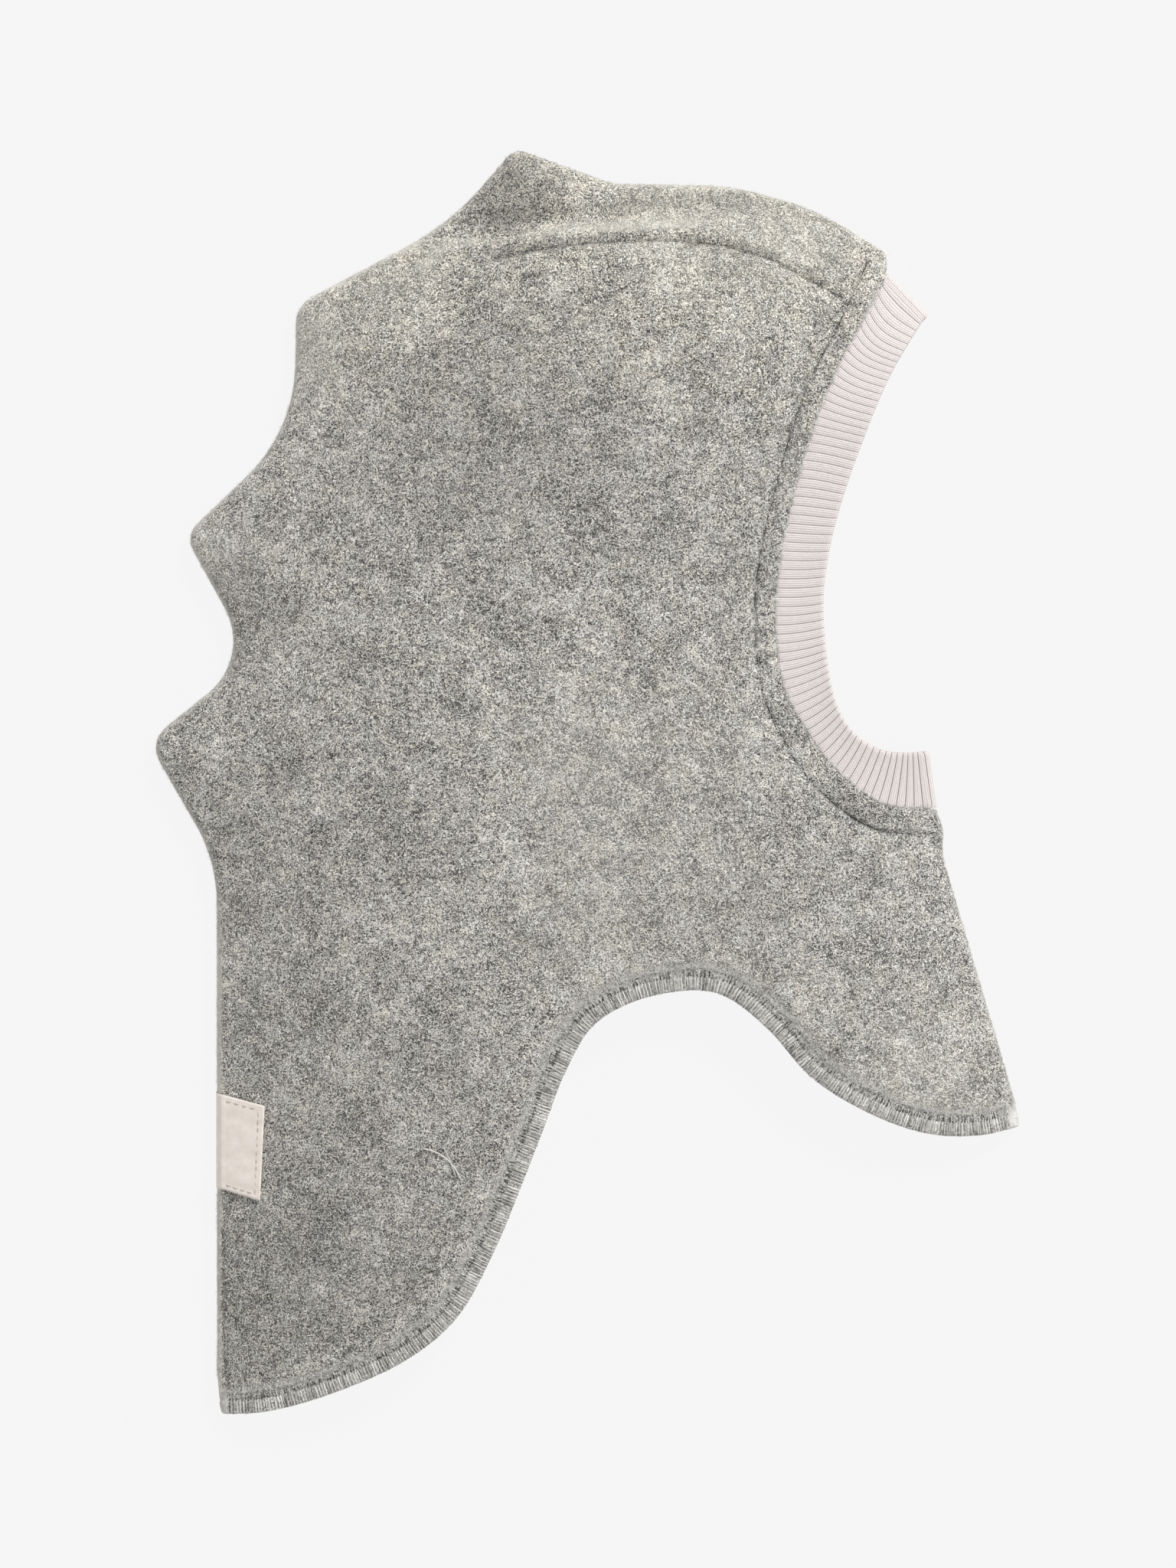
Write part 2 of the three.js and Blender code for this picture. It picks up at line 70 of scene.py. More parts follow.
# Cloth thicknesses and clearances
FLEECE = 2.8
RIB_KNIT = 2.4
OVERLOCK = 2.3
LABEL_CLOTH = 0.6
CLEARANCE = 0.3

# Widths of the sewn parts
HEM_WIDTH = 7.3
SEAM_ROUND = 2.5
EDGE_ROUND = 1.7
HEM_LAP = 0.8

# Space between the two layers of cloth
HEAD_HEIGHT = 13.0
HEAD_REACH = 60.0
MOUTH_SHARE = 0.68
MOUTH_REACH = 60.0
FOLD_DEPTH = 1.8
FOLD_SPREAD = 5.0

# Closed edge from the face over the crown and the four spikes down the back:
# x, y and the radius that the corner is rounded to
BACK_EDGE = [
    (87.6, 150.1, 0), (87.6, 155.9, 2.7), (67.4, 168.3, 58.5), (43.1, 175.7, 74.2),
    (7.1, 176.4, 4.5), (-21.7, 186.8, 5), (-40.2, 164.9, 80), (-85.9, 140.5, 8.6),
    (-86.4, 103.9, 46), (-118.6, 72.9, 6.5), (-98.8, 37.1, 19.6), (-129.5, 12.4, 8.1),
    (-109.2, -22.5, 47.2), (-109.1, -173.5, 3),
]
BACK_X = BACK_EDGE[-1][0]

# Closed chest edge from the hem up to the face: x, y and corner radius
CHEST_EDGE = [
    (103.9, -20.7, 13.5), (104.3, -13.4, 4.5), (102.2, -7.7, 0),
]

# Seam between fleece and rib band, from the chin up to the forehead: x, y
FACE_SEAM = [
    (102.2, -7.7), (85.8, -5.9), (71.9, 4.5), (62.7, 16.7), (56.6, 28.8), (54.3, 53.1),
    (59.3, 83.7), (70.1, 116.8), (87.6, 150.1),
]

# Free edge of the rib band, from the chin up to the forehead: x, y
OPENING_EDGE = [
    (99.9, 9.7), (93, 9.2), (85.8, 10.1), (78.4, 14.4), (72.6, 23.4), (68.7, 50.4),
    (70.5, 68.4), (75.3, 86.4), (85.5, 113.4), (89.9, 122.4), (99.4, 138),
]

# Free edge of the hem, from the centre back over the shoulder to the centre front: x, y
HEM_EDGE = [
    (-107.9, -185.2), (-93.7, -183.8), (-73, -177.5), (-52.3, -167.8), (-38.8, -156.4),
    (-28.5, -138.6), (-13.8, -102.6), (-6.9, -84.6), (1.2, -70.9), (13.6, -63.5), (31.4, -60.3),
    (40.4, -62.3), (52.8, -72), (64.9, -85.5), (80.7, -95.6), (98.7, -102.2), (114.4, -103),
    (126.8, -100.6),
]

# Dart seam from the facing back under the front spike: x, y
DART_SEAM = [
    (73.5, 142.5), (64.9, 147.2), (51, 154.1), (32.7, 158.2), (4.6, 158.4), (-16.8, 155.7),
    (-40.2, 150.1),
]

# Soft fold between the front spike and the puffed strip above the dart: x, y
SPIKE_FOLD = [
    (43.3, 170.8), (26.2, 167.6), (4.6, 164.9), (-16.8, 160.7), (-37.2, 158.6),
]

# Notch where the dart runs in under the facing: x, y
NOTCH = [
    (73.4, 143.2), (74.8, 140.8), (76.6, 140.3), (79.2, 140.5),
]

# Facing stitches: distance along the face seam from the chin, and distance from it
FACING_LINE = [
    (0, 7.1), (20, 7.5), (35, 7.8), (57, 6.4), (70, 5.7), (100, 5.6), (115, 5.2), (148, 5.4),
    (168, 4.9), (178, 5.4), (191, 6.6),
]

# Dimples that the stitches pull in the facing: distance along their line, and strength
DIMPLES = [
    (3.5, 0.4), (7.5, 0.5), (11.5, 0.55), (15.7, 0.7), (19, 0.8), (22, 0.8), (25, 0.9),
    (28, 0.9), (31.5, 1.0), (35.5, 1.0), (39, 0.6), (57, 0.5), (62, 0.6), (65.5, 0.7),
    (80, 0.7), (88, 0.4), (98, 0.6), (104.5, 0.8), (108, 0.5), (112.5, 0.6), (118, 0.6),
    (131, 0.8), (141, 0.5), (146.5, 0.8), (156, 0.8), (168, 0.8), (171.5, 1.0), (181, 0.7),
    (183.5, 0.8), (201, 0.8), (203.5, 1.0),
]

# Valley above the puffed strip beside the dart, and the strip's crest, where a painted highlight is
# laid: x, y
PUFF_VALLEY = [
    (43.3, 170.8), (26.2, 168.2), (4.6, 166.6), (-16.8, 164.8), (-37.2, 163.2),
]
PUFF_CREST = [
    (30, 164.2), (7.2, 163.4), (-12, 162), (-23, 159.2), (-33.3, 159.2), (-42.3, 157.2),
    (-48.5, 150.8),
]

# Broad darker (+) and paler (-) zones of the cloth, partly melange tone and partly painted light
# and
# shade (paler crown and spike rims, darker spike tip): x, y, radius and strength
TONE_AND_LIGHT_ZONES = [
    (-25, 108, 42, 0.20), (-50, -110, 60, 0.15), (-85, -155, 34, 0.12), (-10, 5, 24, -0.16),
    (-5, -38, 26, -0.16), (50, -40, 30, -0.08), (96, -84, 22, -0.16), (76, -22, 24, 0.12),
    (-24, 178, 18, 0.5), (-45, -12, 34, 0.10), (30, 6, 26, -0.10), (-58, 152, 24, -0.20),
    (24, 168, 22, -0.22), (62, 162, 20, -0.24), (-85, 128, 14, -0.26), (-112, 66, 14, -0.20),
    (60, 92, 14, -0.10), (-15, 158, 12, -0.10), (42, 66, 9, 0.12), (42, 46, 9, 0.12),
]

# Seam that shows beside the centre-back edge above the hem: x, y
BACK_SEAM = [
    (-107.1, -132.0), (-107.2, -150.0), (-106.8, -168.0), (-105.9, -176.5),
]

# Grooves: depth at the bottom
DART_DEPTH = 1.9
DART_FADE = 20.0
FACING_DEPTH = 1.5
BACK_SEAM_DEPTH = 0.45
PUFF_DEPTH = 2.3
PUFF_SPREAD = 3.6
# Strength of the painted highlight laid along the rims of the closed edges
RIM_HIGHLIGHT = 0.5

# Ribs of the face band
RIB_COUNT = 68
RIB_WIDTH = 15.5
RIB_VALLEY = 0.26
RIB_BEND = 5.2
RIB_BEND_REACH = 22.0
RIB_ARCH = 0.9
# Where each rib starts at the fleece and ends at the opening, as shares from the chin
RIB_FAN = [
    (0, 0), (0.05, 0.032), (0.1, 0.07), (0.19, 0.152), (0.31, 0.266), (0.38, 0.332),
    (0.45, 0.407), (0.5, 0.466), (0.58, 0.556), (0.67, 0.657), (0.73, 0.729), (0.88, 0.882),
    (0.93, 0.925), (1, 1),
]

# Overlock stitches
STITCH_PITCH = 0.93
NEEDLE_LINE = 0.41
SECOND_LINE = 0.18

# Label
LABEL_HALF_LENGTH = 13.9
LABEL_LEG = 13.8
LABEL_SKEW = 3.6
LABEL_MIDDLE = -104.4
LABEL_DENT = 0.95
LABEL_EASE = 0.4
LABEL_LEAN = 0.06
LABEL_CLEAR = 15.5

# Rectangle that holds the hood: x and y, from and to
FIELD_X = (-134, 134)
FIELD_Y = (-190, 192)

# Rows of points inside the outline, and beside each groove: their distances
EDGE_INSETS = (0.2, 0.6, 1.2, 2.0, 2.9, 3.9)
GROOVE_SIDES = (-1.5, -0.8, -0.35, 0, 0.35, 0.8, 1.5)

# Fibres and threads: their widths, the strongest painted shade in a groove that they still lie
# on, and how near the surface under the hood they come
PILE_WIDTH = (0.07, 0.13)
FIBRE_WIDTH = (0.07, 0.12)
BARE_SHADE = 0.4
FLOOR_GAP = 0.03

SAMPLE_STEP = 1.0
TURN_STEPS = 24
TURN_RIBS = 3
rng = np.random.default_rng(4)


# Plane curves


def lengths_along(path):
    return np.concatenate([[0.0], np.cumsum(np.hypot(*np.diff(path, axis=0).T))])


def points_at(path, places):
    """Points of a path at the given distances from its start."""
    along = lengths_along(path)
    return np.stack([np.interp(places, along, path[:, k]) for k in (0, 1)], axis=-1)


def resample(path, step):
    total = lengths_along(path)[-1]
    return points_at(path, np.linspace(0, total, math.ceil(total / step) + 1))


def smooth_path(rows, step):
    """Centripetal spline through the rows of a table."""
    rows = np.array(rows, float)
    points = np.vstack([2 * rows[0] - rows[1], rows, 2 * rows[-1] - rows[-2]])
    fine = []
    for before, start, end, after in zip(points, points[1:], points[2:], points[3:]):
        sides = ((before, start), (start, end), (end, after))
        first, middle, last = (math.sqrt(math.dist(a, b)) for a, b in sides)
        pace = (end - start) / middle
        leave = (start - before) / first - (end - before) / (first + middle) + pace
        arrive = pace - (after - start) / (middle + last) + (after - end) / last
        leave, arrive = leave * middle, arrive * middle
        t = np.linspace(0, 1, 24, endpoint=False)[:, None]
        curve = start + leave * t + (3 * (end - start) - 2 * leave - arrive) * t**2
        fine.append(curve + (2 * (start - end) + leave + arrive) * t**3)
    return resample(np.vstack(fine + [rows[-1:]]), step)


def rounded_path(corners, step):
    """Straight sides with each corner rounded to its radius."""
    corners = np.array(corners, float)
    path = [corners[0, :2]]
    for before, corner, after in zip(corners, corners[1:], corners[2:]):
        here, radius = corner[:2], corner[2]
        if radius == 0:
            path.append(here)
            continue
        back = (before[:2] - here) / math.dist(before[:2], here)
        ahead = (after[:2] - here) / math.dist(after[:2], here)
        half = math.acos(back @ ahead) / 2
        start = here + back * radius / math.tan(half)
        bisector = (back + ahead) / np.linalg.norm(back + ahead)
        centre = here + bisector * radius / math.sin(half)
        side = np.sign(ahead[0] * back[1] - ahead[1] * back[0])
        for turn in np.linspace(0, side * (math.pi - 2 * half), 12):
            x, y = start - centre
            c, s = math.cos(turn), math.sin(turn)
            path.append(centre + np.array([x * c - y * s, x * s + y * c]))
    path.append(corners[-1, :2])
    return resample(np.array(path), step)


def offset_path(path, distance):
    """The path moved to its left by one distance, or by one for each of its points."""
    along = np.gradient(path, axis=0)
    along /= np.linalg.norm(along, axis=1, keepdims=True)
    return path + np.reshape(distance, (-1, 1)) * np.stack([-along[:, 1], along[:, 0]], axis=1)


def in_chunks(function, points, size=4000):
    """A function of many points, worked out a few at a time."""
    return np.concatenate([function(points[i : i + size]) for i in range(0, len(points), size)])


def distance_to(path, points):
    start, step = path[:-1], np.diff(path, axis=0)
    square = (step**2).sum(1)

    def nearest(part):
        away = part[:, None] - start
        share = np.clip((away * step).sum(2) / square, 0, 1)
        return np.sqrt(((away - share[..., None] * step) ** 2).sum(2)).min(1)

    return in_chunks(nearest, points, 2000)


def soft_distance(samples, points):
    """Distance to an edge that stays smooth between two of its sides."""

    def nearness(part):
        square = ((part[:, None] - samples) ** 2).sum(2) + 1e-6
        return np.cbrt(math.pi / (2 * SAMPLE_STEP * (square**-2).sum(1)))

    return in_chunks(nearness, points)


def smoothstep(value, low, high):
    share = np.clip((value - low) / (high - low), 0, 1)
    return share * share * (3 - 2 * share)


def inside(polygon, points):
    ax, ay = polygon[:, 0], polygon[:, 1]
    bx, by = np.roll(ax, -1), np.roll(ay, -1)

    def test(part):
        x, y = part[:, :1], part[:, 1:]
        rise = np.where(by == ay, 1.0, by - ay)
        crossed = ((ay > y) != (by > y)) & (x < ax + (y - ay) / rise * (bx - ax))
        return crossed.sum(1) % 2 == 1

    return in_chunks(test, points)


# The outline and the seams

hem_edge = smooth_path(HEM_EDGE, 1.0)
hem_seam = offset_path(hem_edge, HEM_WIDTH + CLEARANCE)
opening_edge = smooth_path(OPENING_EDGE, 1.0)
face_seam = smooth_path(FACE_SEAM, 1.0)
chest_edge = rounded_path([(*hem_seam[-1], 0), *CHEST_EDGE], 1.0)
back_edge = rounded_path([*BACK_EDGE, (*hem_seam[0], 0)], 1.0)
dart_seam = smooth_path(DART_SEAM, 0.7)
spike_fold = smooth_path(SPIKE_FOLD, 3.0)
back_seam = smooth_path(BACK_SEAM, 0.7)
facing_width = np.interp(lengths_along(face_seam), *np.array(FACING_LINE).T)
facing_seam = resample(offset_path(face_seam, facing_width), 0.5)
notch = smooth_path(NOTCH, 0.5)
puff_valley = smooth_path(PUFF_VALLEY, 1.0)
puff_crest = smooth_path(PUFF_CREST, 1.0)
# Line above the dart along which painted shade is laid on the strip's lower slope
puff_slope = offset_path(dart_seam, -1.7)

hem_meet = offset_path(hem_edge, HEM_WIDTH - HEM_LAP)
hem_meet[[0, -1]] = hem_seam[[0, -1]]
face_meet = offset_path(face_seam, -0.9 * CLEARANCE)
face_meet[[0, -1]] = face_seam[[0, -1]]

joined_edges = [
    np.vstack([chest_edge, opening_edge[:1]]),
    np.vstack([opening_edge[-1:], back_edge]),
    np.vstack([hem_seam[:1], hem_edge[:1]]),
    np.vstack([hem_seam[-1:], hem_edge[-1:]]),
]
closed_samples = np.vstack([resample(path, SAMPLE_STEP) for path in joined_edges])
free_samples = np.vstack([resample(hem_edge, SAMPLE_STEP), resample(opening_edge, SAMPLE_STEP)])

everything = np.vstack([back_edge, chest_edge, hem_edge, opening_edge])
hem_inside = offset_path(hem_edge, HEM_WIDTH)
cad_middle = np.array([(cad_low.x + cad_high.x) / 2, (cad_low.y + cad_high.y) / 2]) / MM
frame_shift = cad_middle - (everything.min(0) + everything.max(0)) / 2


# Heights


def layer_gap(points):
    """Clear height between the two layers of cloth."""
    shape = points.shape[:-1]
    points = points.reshape(-1, 2)
    closed = np.minimum(soft_distance(closed_samples, points) / HEAD_REACH, 1)
    free = soft_distance(free_samples, points)
    mouth = MOUTH_SHARE + (1 - MOUTH_SHARE) * smoothstep(free, 0, MOUTH_REACH)
    fold = FOLD_DEPTH * np.exp(-((distance_to(spike_fold, points) / FOLD_SPREAD) ** 2))
    rise = HEAD_HEIGHT * closed * (2 - closed) * mouth
    return (CLEARANCE + np.maximum(rise - fold * np.minimum(closed * 6, 1), 0)).reshape(shape)


def dimple_pull(along, spread):
    return sum(share * np.exp(-(((along - at) / spread) ** 2)) for at, share in DIMPLES)


def groove_depth(points):
    """Depth of the dart, facing and centre-back grooves, and how dark the shadow in them is."""
    fade = np.minimum(np.hypot(*(points - DART_SEAM[-1]).T) / DART_FADE, 1)
    place = stitch_phase(dart_seam, points)
    waver = 0.72 + 0.28 * np.sin(place * 1.1) * np.sin(place * 0.37)
    line = sharp(dart_seam, points, 0.5) * waver
    dart = DART_DEPTH * fade * (0.6 * sharp(dart_seam, points, 2.4) + 0.4 * line)
    along = stitch_phase(facing_seam, points)
    pull = np.clip(dimple_pull(along, 1.3), 0, 1)
    hole = sharp(facing_seam, points, 0.6)
    facing = FACING_DEPTH * (0.27 * sharp(facing_seam, points, 2.2) + (0.1 + 0.45 * pull) * hole)
    cut = sharp(notch, points, 0.55)
    facing = np.maximum(facing, 1.3 * cut)
    back = BACK_SEAM_DEPTH * sharp(back_seam, points, 0.6)
    depth = np.maximum(np.maximum(dart, facing), back)
    shadow = np.maximum(0.75 * fade * line, (0.27 + 0.6 * pull) * hole)
    shadow = np.maximum(shadow, 0.9 * cut)
    return depth, np.maximum(shadow, 0.3 * back / BACK_SEAM_DEPTH)


def puff_valley_depth(points):
    """Extra depth of the fold above the puffed strip beside the dart."""
    return PUFF_DEPTH * sharp(puff_valley, points, PUFF_SPREAD) * smoothstep(points[:, 0], -48, -15)


def tone_and_painted_light(points):
    """The darker and paler zones of the cloth, partly melange tone and partly painted light and
    shade, with painted shade on the lower slope of the puffed strip and a painted highlight on its
    crest and beside the hem seam.
    """
    zones = sum(s * np.exp(-(((points - (x, y)) ** 2).sum(1)) / r**2) for x, y, r, s in TONE_AND_LIGHT_ZONES)
    x = points[:, 0]
    # Painted shade on the slope that falls from the strip's crest to the dart.
    slope_shade = sharp(puff_slope, points, 1.5) * smoothstep(x, -34, -20) * smoothstep(-x, -55, -20)
    # Painted highlight on the strip's crest and on the fleece beside the hem seam.
    rim = 0.4 * sharp(puff_crest, points, 1.5) + 0.16 * sharp(hem_meet, points, 3.5)
    return zones + 0.36 * slope_shade - rim


def back_edge_strip(points):
    """How much paler the cloth is made in a narrow strip along the straight back edge, lower down.
    """
    x, y = points.T
    across = smoothstep(x, BACK_X + 0.9, BACK_X + 2.2)
    return (1 - across) * smoothstep(-y, 20, 60)


def sharp(path, points, spread):
    depth = np.zeros(len(points))
    near = np.abs(points[:, None] - path[::8]).sum(2).min(1) < 20
    depth[near] = np.exp(-((distance_to(path, points[near]) / spread) ** 2))
    return depth


def nearest_to(path, points, size=4000):
    """For each point, the index of the nearest point of the path."""
    return in_chunks(lambda part: ((part[:, None] - path) ** 2).sum(2).argmin(1), points, size)


def stitch_phase(path, points):
    """How far along the path the nearest of its points lies."""
    return lengths_along(path)[nearest_to(path, points)]


def label_dent(points):
    """Lift of the lower face over the leg of the label that it lies on."""
    x, y = points.T
    across = smoothstep(x, BACK_X + LABEL_LEG + 1, BACK_X + LABEL_LEG + 5)
    along = np.abs(y - LABEL_MIDDLE - LABEL_SKEW / 2)
    half = LABEL_HALF_LENGTH + LABEL_SKEW / 2 + 1
    return LABEL_DENT * (1 - across) * (1 - smoothstep(along, half, half + 4))


# Meshes


def add_object(name, data):
    added = bpy.data.objects.new(name, data)
    bpy.context.scene.collection.objects.link(added)
    return added


def new_piece(name, points, faces, material, uv=None, painted_light_and_tone=None):
    """A smooth-shaded piece from points in millimetres and faces that all have as many corners."""
    shifted = np.array(points, float)
    shifted[:, :2] += frame_shift
    faces = np.asarray(faces)
    mesh = bpy.data.meshes.new(name)
    mesh.vertices.add(len(shifted))
    mesh.vertices.foreach_set("co", (shifted * MM).ravel())
    mesh.loops.add(faces.size)
    mesh.loops.foreach_set("vertex_index", faces.ravel())
    mesh.polygons.add(len(faces))
    mesh.polygons.foreach_set("loop_start", np.arange(0, faces.size, faces.shape[1]))
    mesh.update(calc_edges=True)
    mesh.shade_smooth()
    if uv is not None:
        layer = mesh.uv_layers.new(name="cloth")
        layer.data.foreach_set("uv", np.asarray(uv, float)[faces.ravel()].ravel())
    # Per-point painted shade and painted highlight, with broad melange tone, for the material to
    # mix into its colour.
    if painted_light_and_tone is not None:
        mesh.attributes.new("painted_light_and_tone", "FLOAT", "POINT").data.foreach_set("value", painted_light_and_tone)
    mesh.materials.append(material)
    piece = add_object(name, mesh)
    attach(piece, "root")
    return piece


def vertex_normals(points, faces):
    a, b, c = (points[faces[:, k]] for k in range(3))
    face = np.cross(b - a, c - a)
    normals = np.zeros_like(points)
    for k in range(3):
        np.add.at(normals, faces[:, k], face)
    return normals / np.maximum(np.linalg.norm(normals, axis=1, keepdims=True), 1e-12)


def triangulate(ring, within):
    """Triangles over a closed ring and the points inside it."""
    count = len(ring)
    points = [Vector(p) for p in np.vstack([ring, within])]
    edges = [(i, (i + 1) % count) for i in range(count)]
    found = delaunay_2d_cdt(points, edges, [], 1, 1e-5)
    source = np.array([ids[0] for ids in found[3]])
    return source[np.array(found[2])]


def hex_grid(spacing):
    x = np.arange(*FIELD_X, spacing)
    y = np.arange(*FIELD_Y, spacing * math.sin(math.pi / 3))
    grid = np.stack(np.meshgrid(x, y), axis=-1)
    grid[1::2, :, 0] += spacing / 2
    return grid.reshape(-1, 2)


def outline_ring(step):
    """The outline's points, anticlockwise, and whether each lies on a free side."""
    sides = [(hem_meet, True), (chest_edge, False), (face_meet, True), (back_edge, False)]
    ring, free = [], []
    for path, is_free in sides:
        points = resample(path, step)[:-1]
        ring.append(points)
        free.append(np.full(len(points), is_free))
        free[-1][0] = True
    return np.vstack(ring), np.concatenate(free)


def edge_rows(ring, insets):
    """Rows of points just inside a ring."""
    closed = np.vstack([ring[-1:], ring, ring[:1]])
    rows = []
    for inset in insets:
        rows.append(kept_inside(ring, offset_path(closed, inset)[1:-1], inset * 0.93))
    return np.vstack(rows)


def spread_out(fixed, loose, clear):
    """The loose points that keep clear of the fixed ones."""

    def keep(part):
        return ((part[:, None] - fixed) ** 2).sum(2).min(1) > clear**2

    return loose[in_chunks(keep, loose, 1500)]


def kept_inside(ring, points, clear):
    """The points inside a ring and farther from it than the clearance."""
    points = points[inside(ring, points)]
    return points[distance_to(np.vstack([ring, ring[:1]]), points) > clear]


def fleece_half(upper, edge_step, grid, lining_grid, grooves):
    """Points and triangles of a fleece half, and how many of the points are on its outer face."""
    ring, free = outline_ring(edge_step)
    rows = edge_rows(ring, EDGE_INSETS)
    body = kept_inside(ring, hex_grid(grid), 4.1 + grid * 0.35)
    if grooves:
        seams = np.vstack([offset_path(path, side) for path in grooves for side in GROOVE_SIDES])
        middle = np.vstack(grooves)
        rows = np.vstack([spread_out(middle, rows, 1.8), kept_inside(ring, seams, 0.5)])
        body = spread_out(middle, body, 1.5 + grid * 0.4)
    within = np.vstack([rows, body])
    outer_faces = triangulate(ring, within)
    flat = np.vstack([ring, within])

    joined_distance = np.minimum(distance_to(chest_edge, flat), distance_to(back_edge, flat))
    face_rise = rounding(distance_to(face_seam, flat) / 1.3, 0.86)
    hem_rise = 0.72 + 0.28 * smoothstep(distance_to(hem_meet, flat), 0, 3.2)
    rise = np.minimum(rounding(joined_distance / EDGE_ROUND, 0), np.minimum(face_rise, hem_rise))
    rise[: len(ring)] = np.where(free, rise[: len(ring)], 0)
    if upper:
        lining = FLEECE + layer_gap(flat)
        groove, shadow = groove_depth(flat)
        outer_z = lining + FLEECE * rise - np.maximum(groove, puff_valley_depth(flat)) * rise
        # Painted highlight along the rims of the closed edges, stronger toward the back, where the
        # rounded edges face away from the key light.
        away = 0.2 + 0.8 * smoothstep(-flat[:, 0], -70, 10)
        rim = RIM_HIGHLIGHT * away * np.exp(-((joined_distance / 1.1) ** 2))
        # Painted groove shadow plus the tone zones with their painted light and shade, less the
        # paler back-edge strip or the rim highlight, whichever is more.
        shadow = shadow + tone_and_painted_light(flat) - np.maximum(0.75 * back_edge_strip(flat), rim)
    else:
        shadow = np.zeros(len(flat))
        lining = np.full(len(flat), FLEECE)
        outer_z = FLEECE + (label_dent(flat) - FLEECE) * rise

    inner_points = kept_inside(ring, hex_grid(lining_grid), lining_grid * 0.6)
    inner_faces = triangulate(ring, inner_points)[:, ::-1]
    inner_z = FLEECE + layer_gap(inner_points) if upper else np.full(len(inner_points), FLEECE)

    outer = np.column_stack([flat, outer_z])
    count = len(ring)
    ring_base = np.column_stack([ring, lining[:count]])
    inner = np.column_stack([inner_points, inner_z])
    points = np.vstack([outer, ring_base, inner])
    base = len(outer)
    here = np.arange(count)
    there = (here + 1) % count
    wall = np.vstack([
        np.column_stack([base + here, base + there, there]),
        np.column_stack([base + here, there, here]),
    ])
    faces = np.vstack([outer_faces, inner_faces + base, wall])
    merged = np.arange(len(points))
    merged[base : base + count][~free] = here[~free]
    faces = merged[faces]
    faces = faces[(faces != np.roll(faces, 1, axis=1)).all(1)]
    used = np.unique(faces)
    renumber = np.zeros(len(points), int)
    renumber[used] = np.arange(len(used))
    faces = renumber[faces] if upper else renumber[faces][:, ::-1]
    # Painted light and tone on the outer face only.
    painted_light_and_tone = np.zeros(len(points))
    painted_light_and_tone[: len(outer)] = shadow
    return points[used], faces, len(outer), painted_light_and_tone[used]


def rounding(share, start):
    """Rises from its start value to 1 along a quarter circle."""
    share = np.clip(share, 0, 1)
    return start + (1 - start) * np.sqrt(1 - (1 - share) ** 2)


def felt(points, normals, outer_count, amount):
    """Moves the outer face in and out by the small lumps of brushed wool."""
    moved = points.copy()
    for i in range(outer_count):
        here = Vector(points[i])
        lump = noise.fractal(here * 0.42, 0.9, 2.1, 3) + 0.6 * noise.noise(here * 0.09)
        moved[i] += normals[i] * amount * lump
    return moved


# Materials


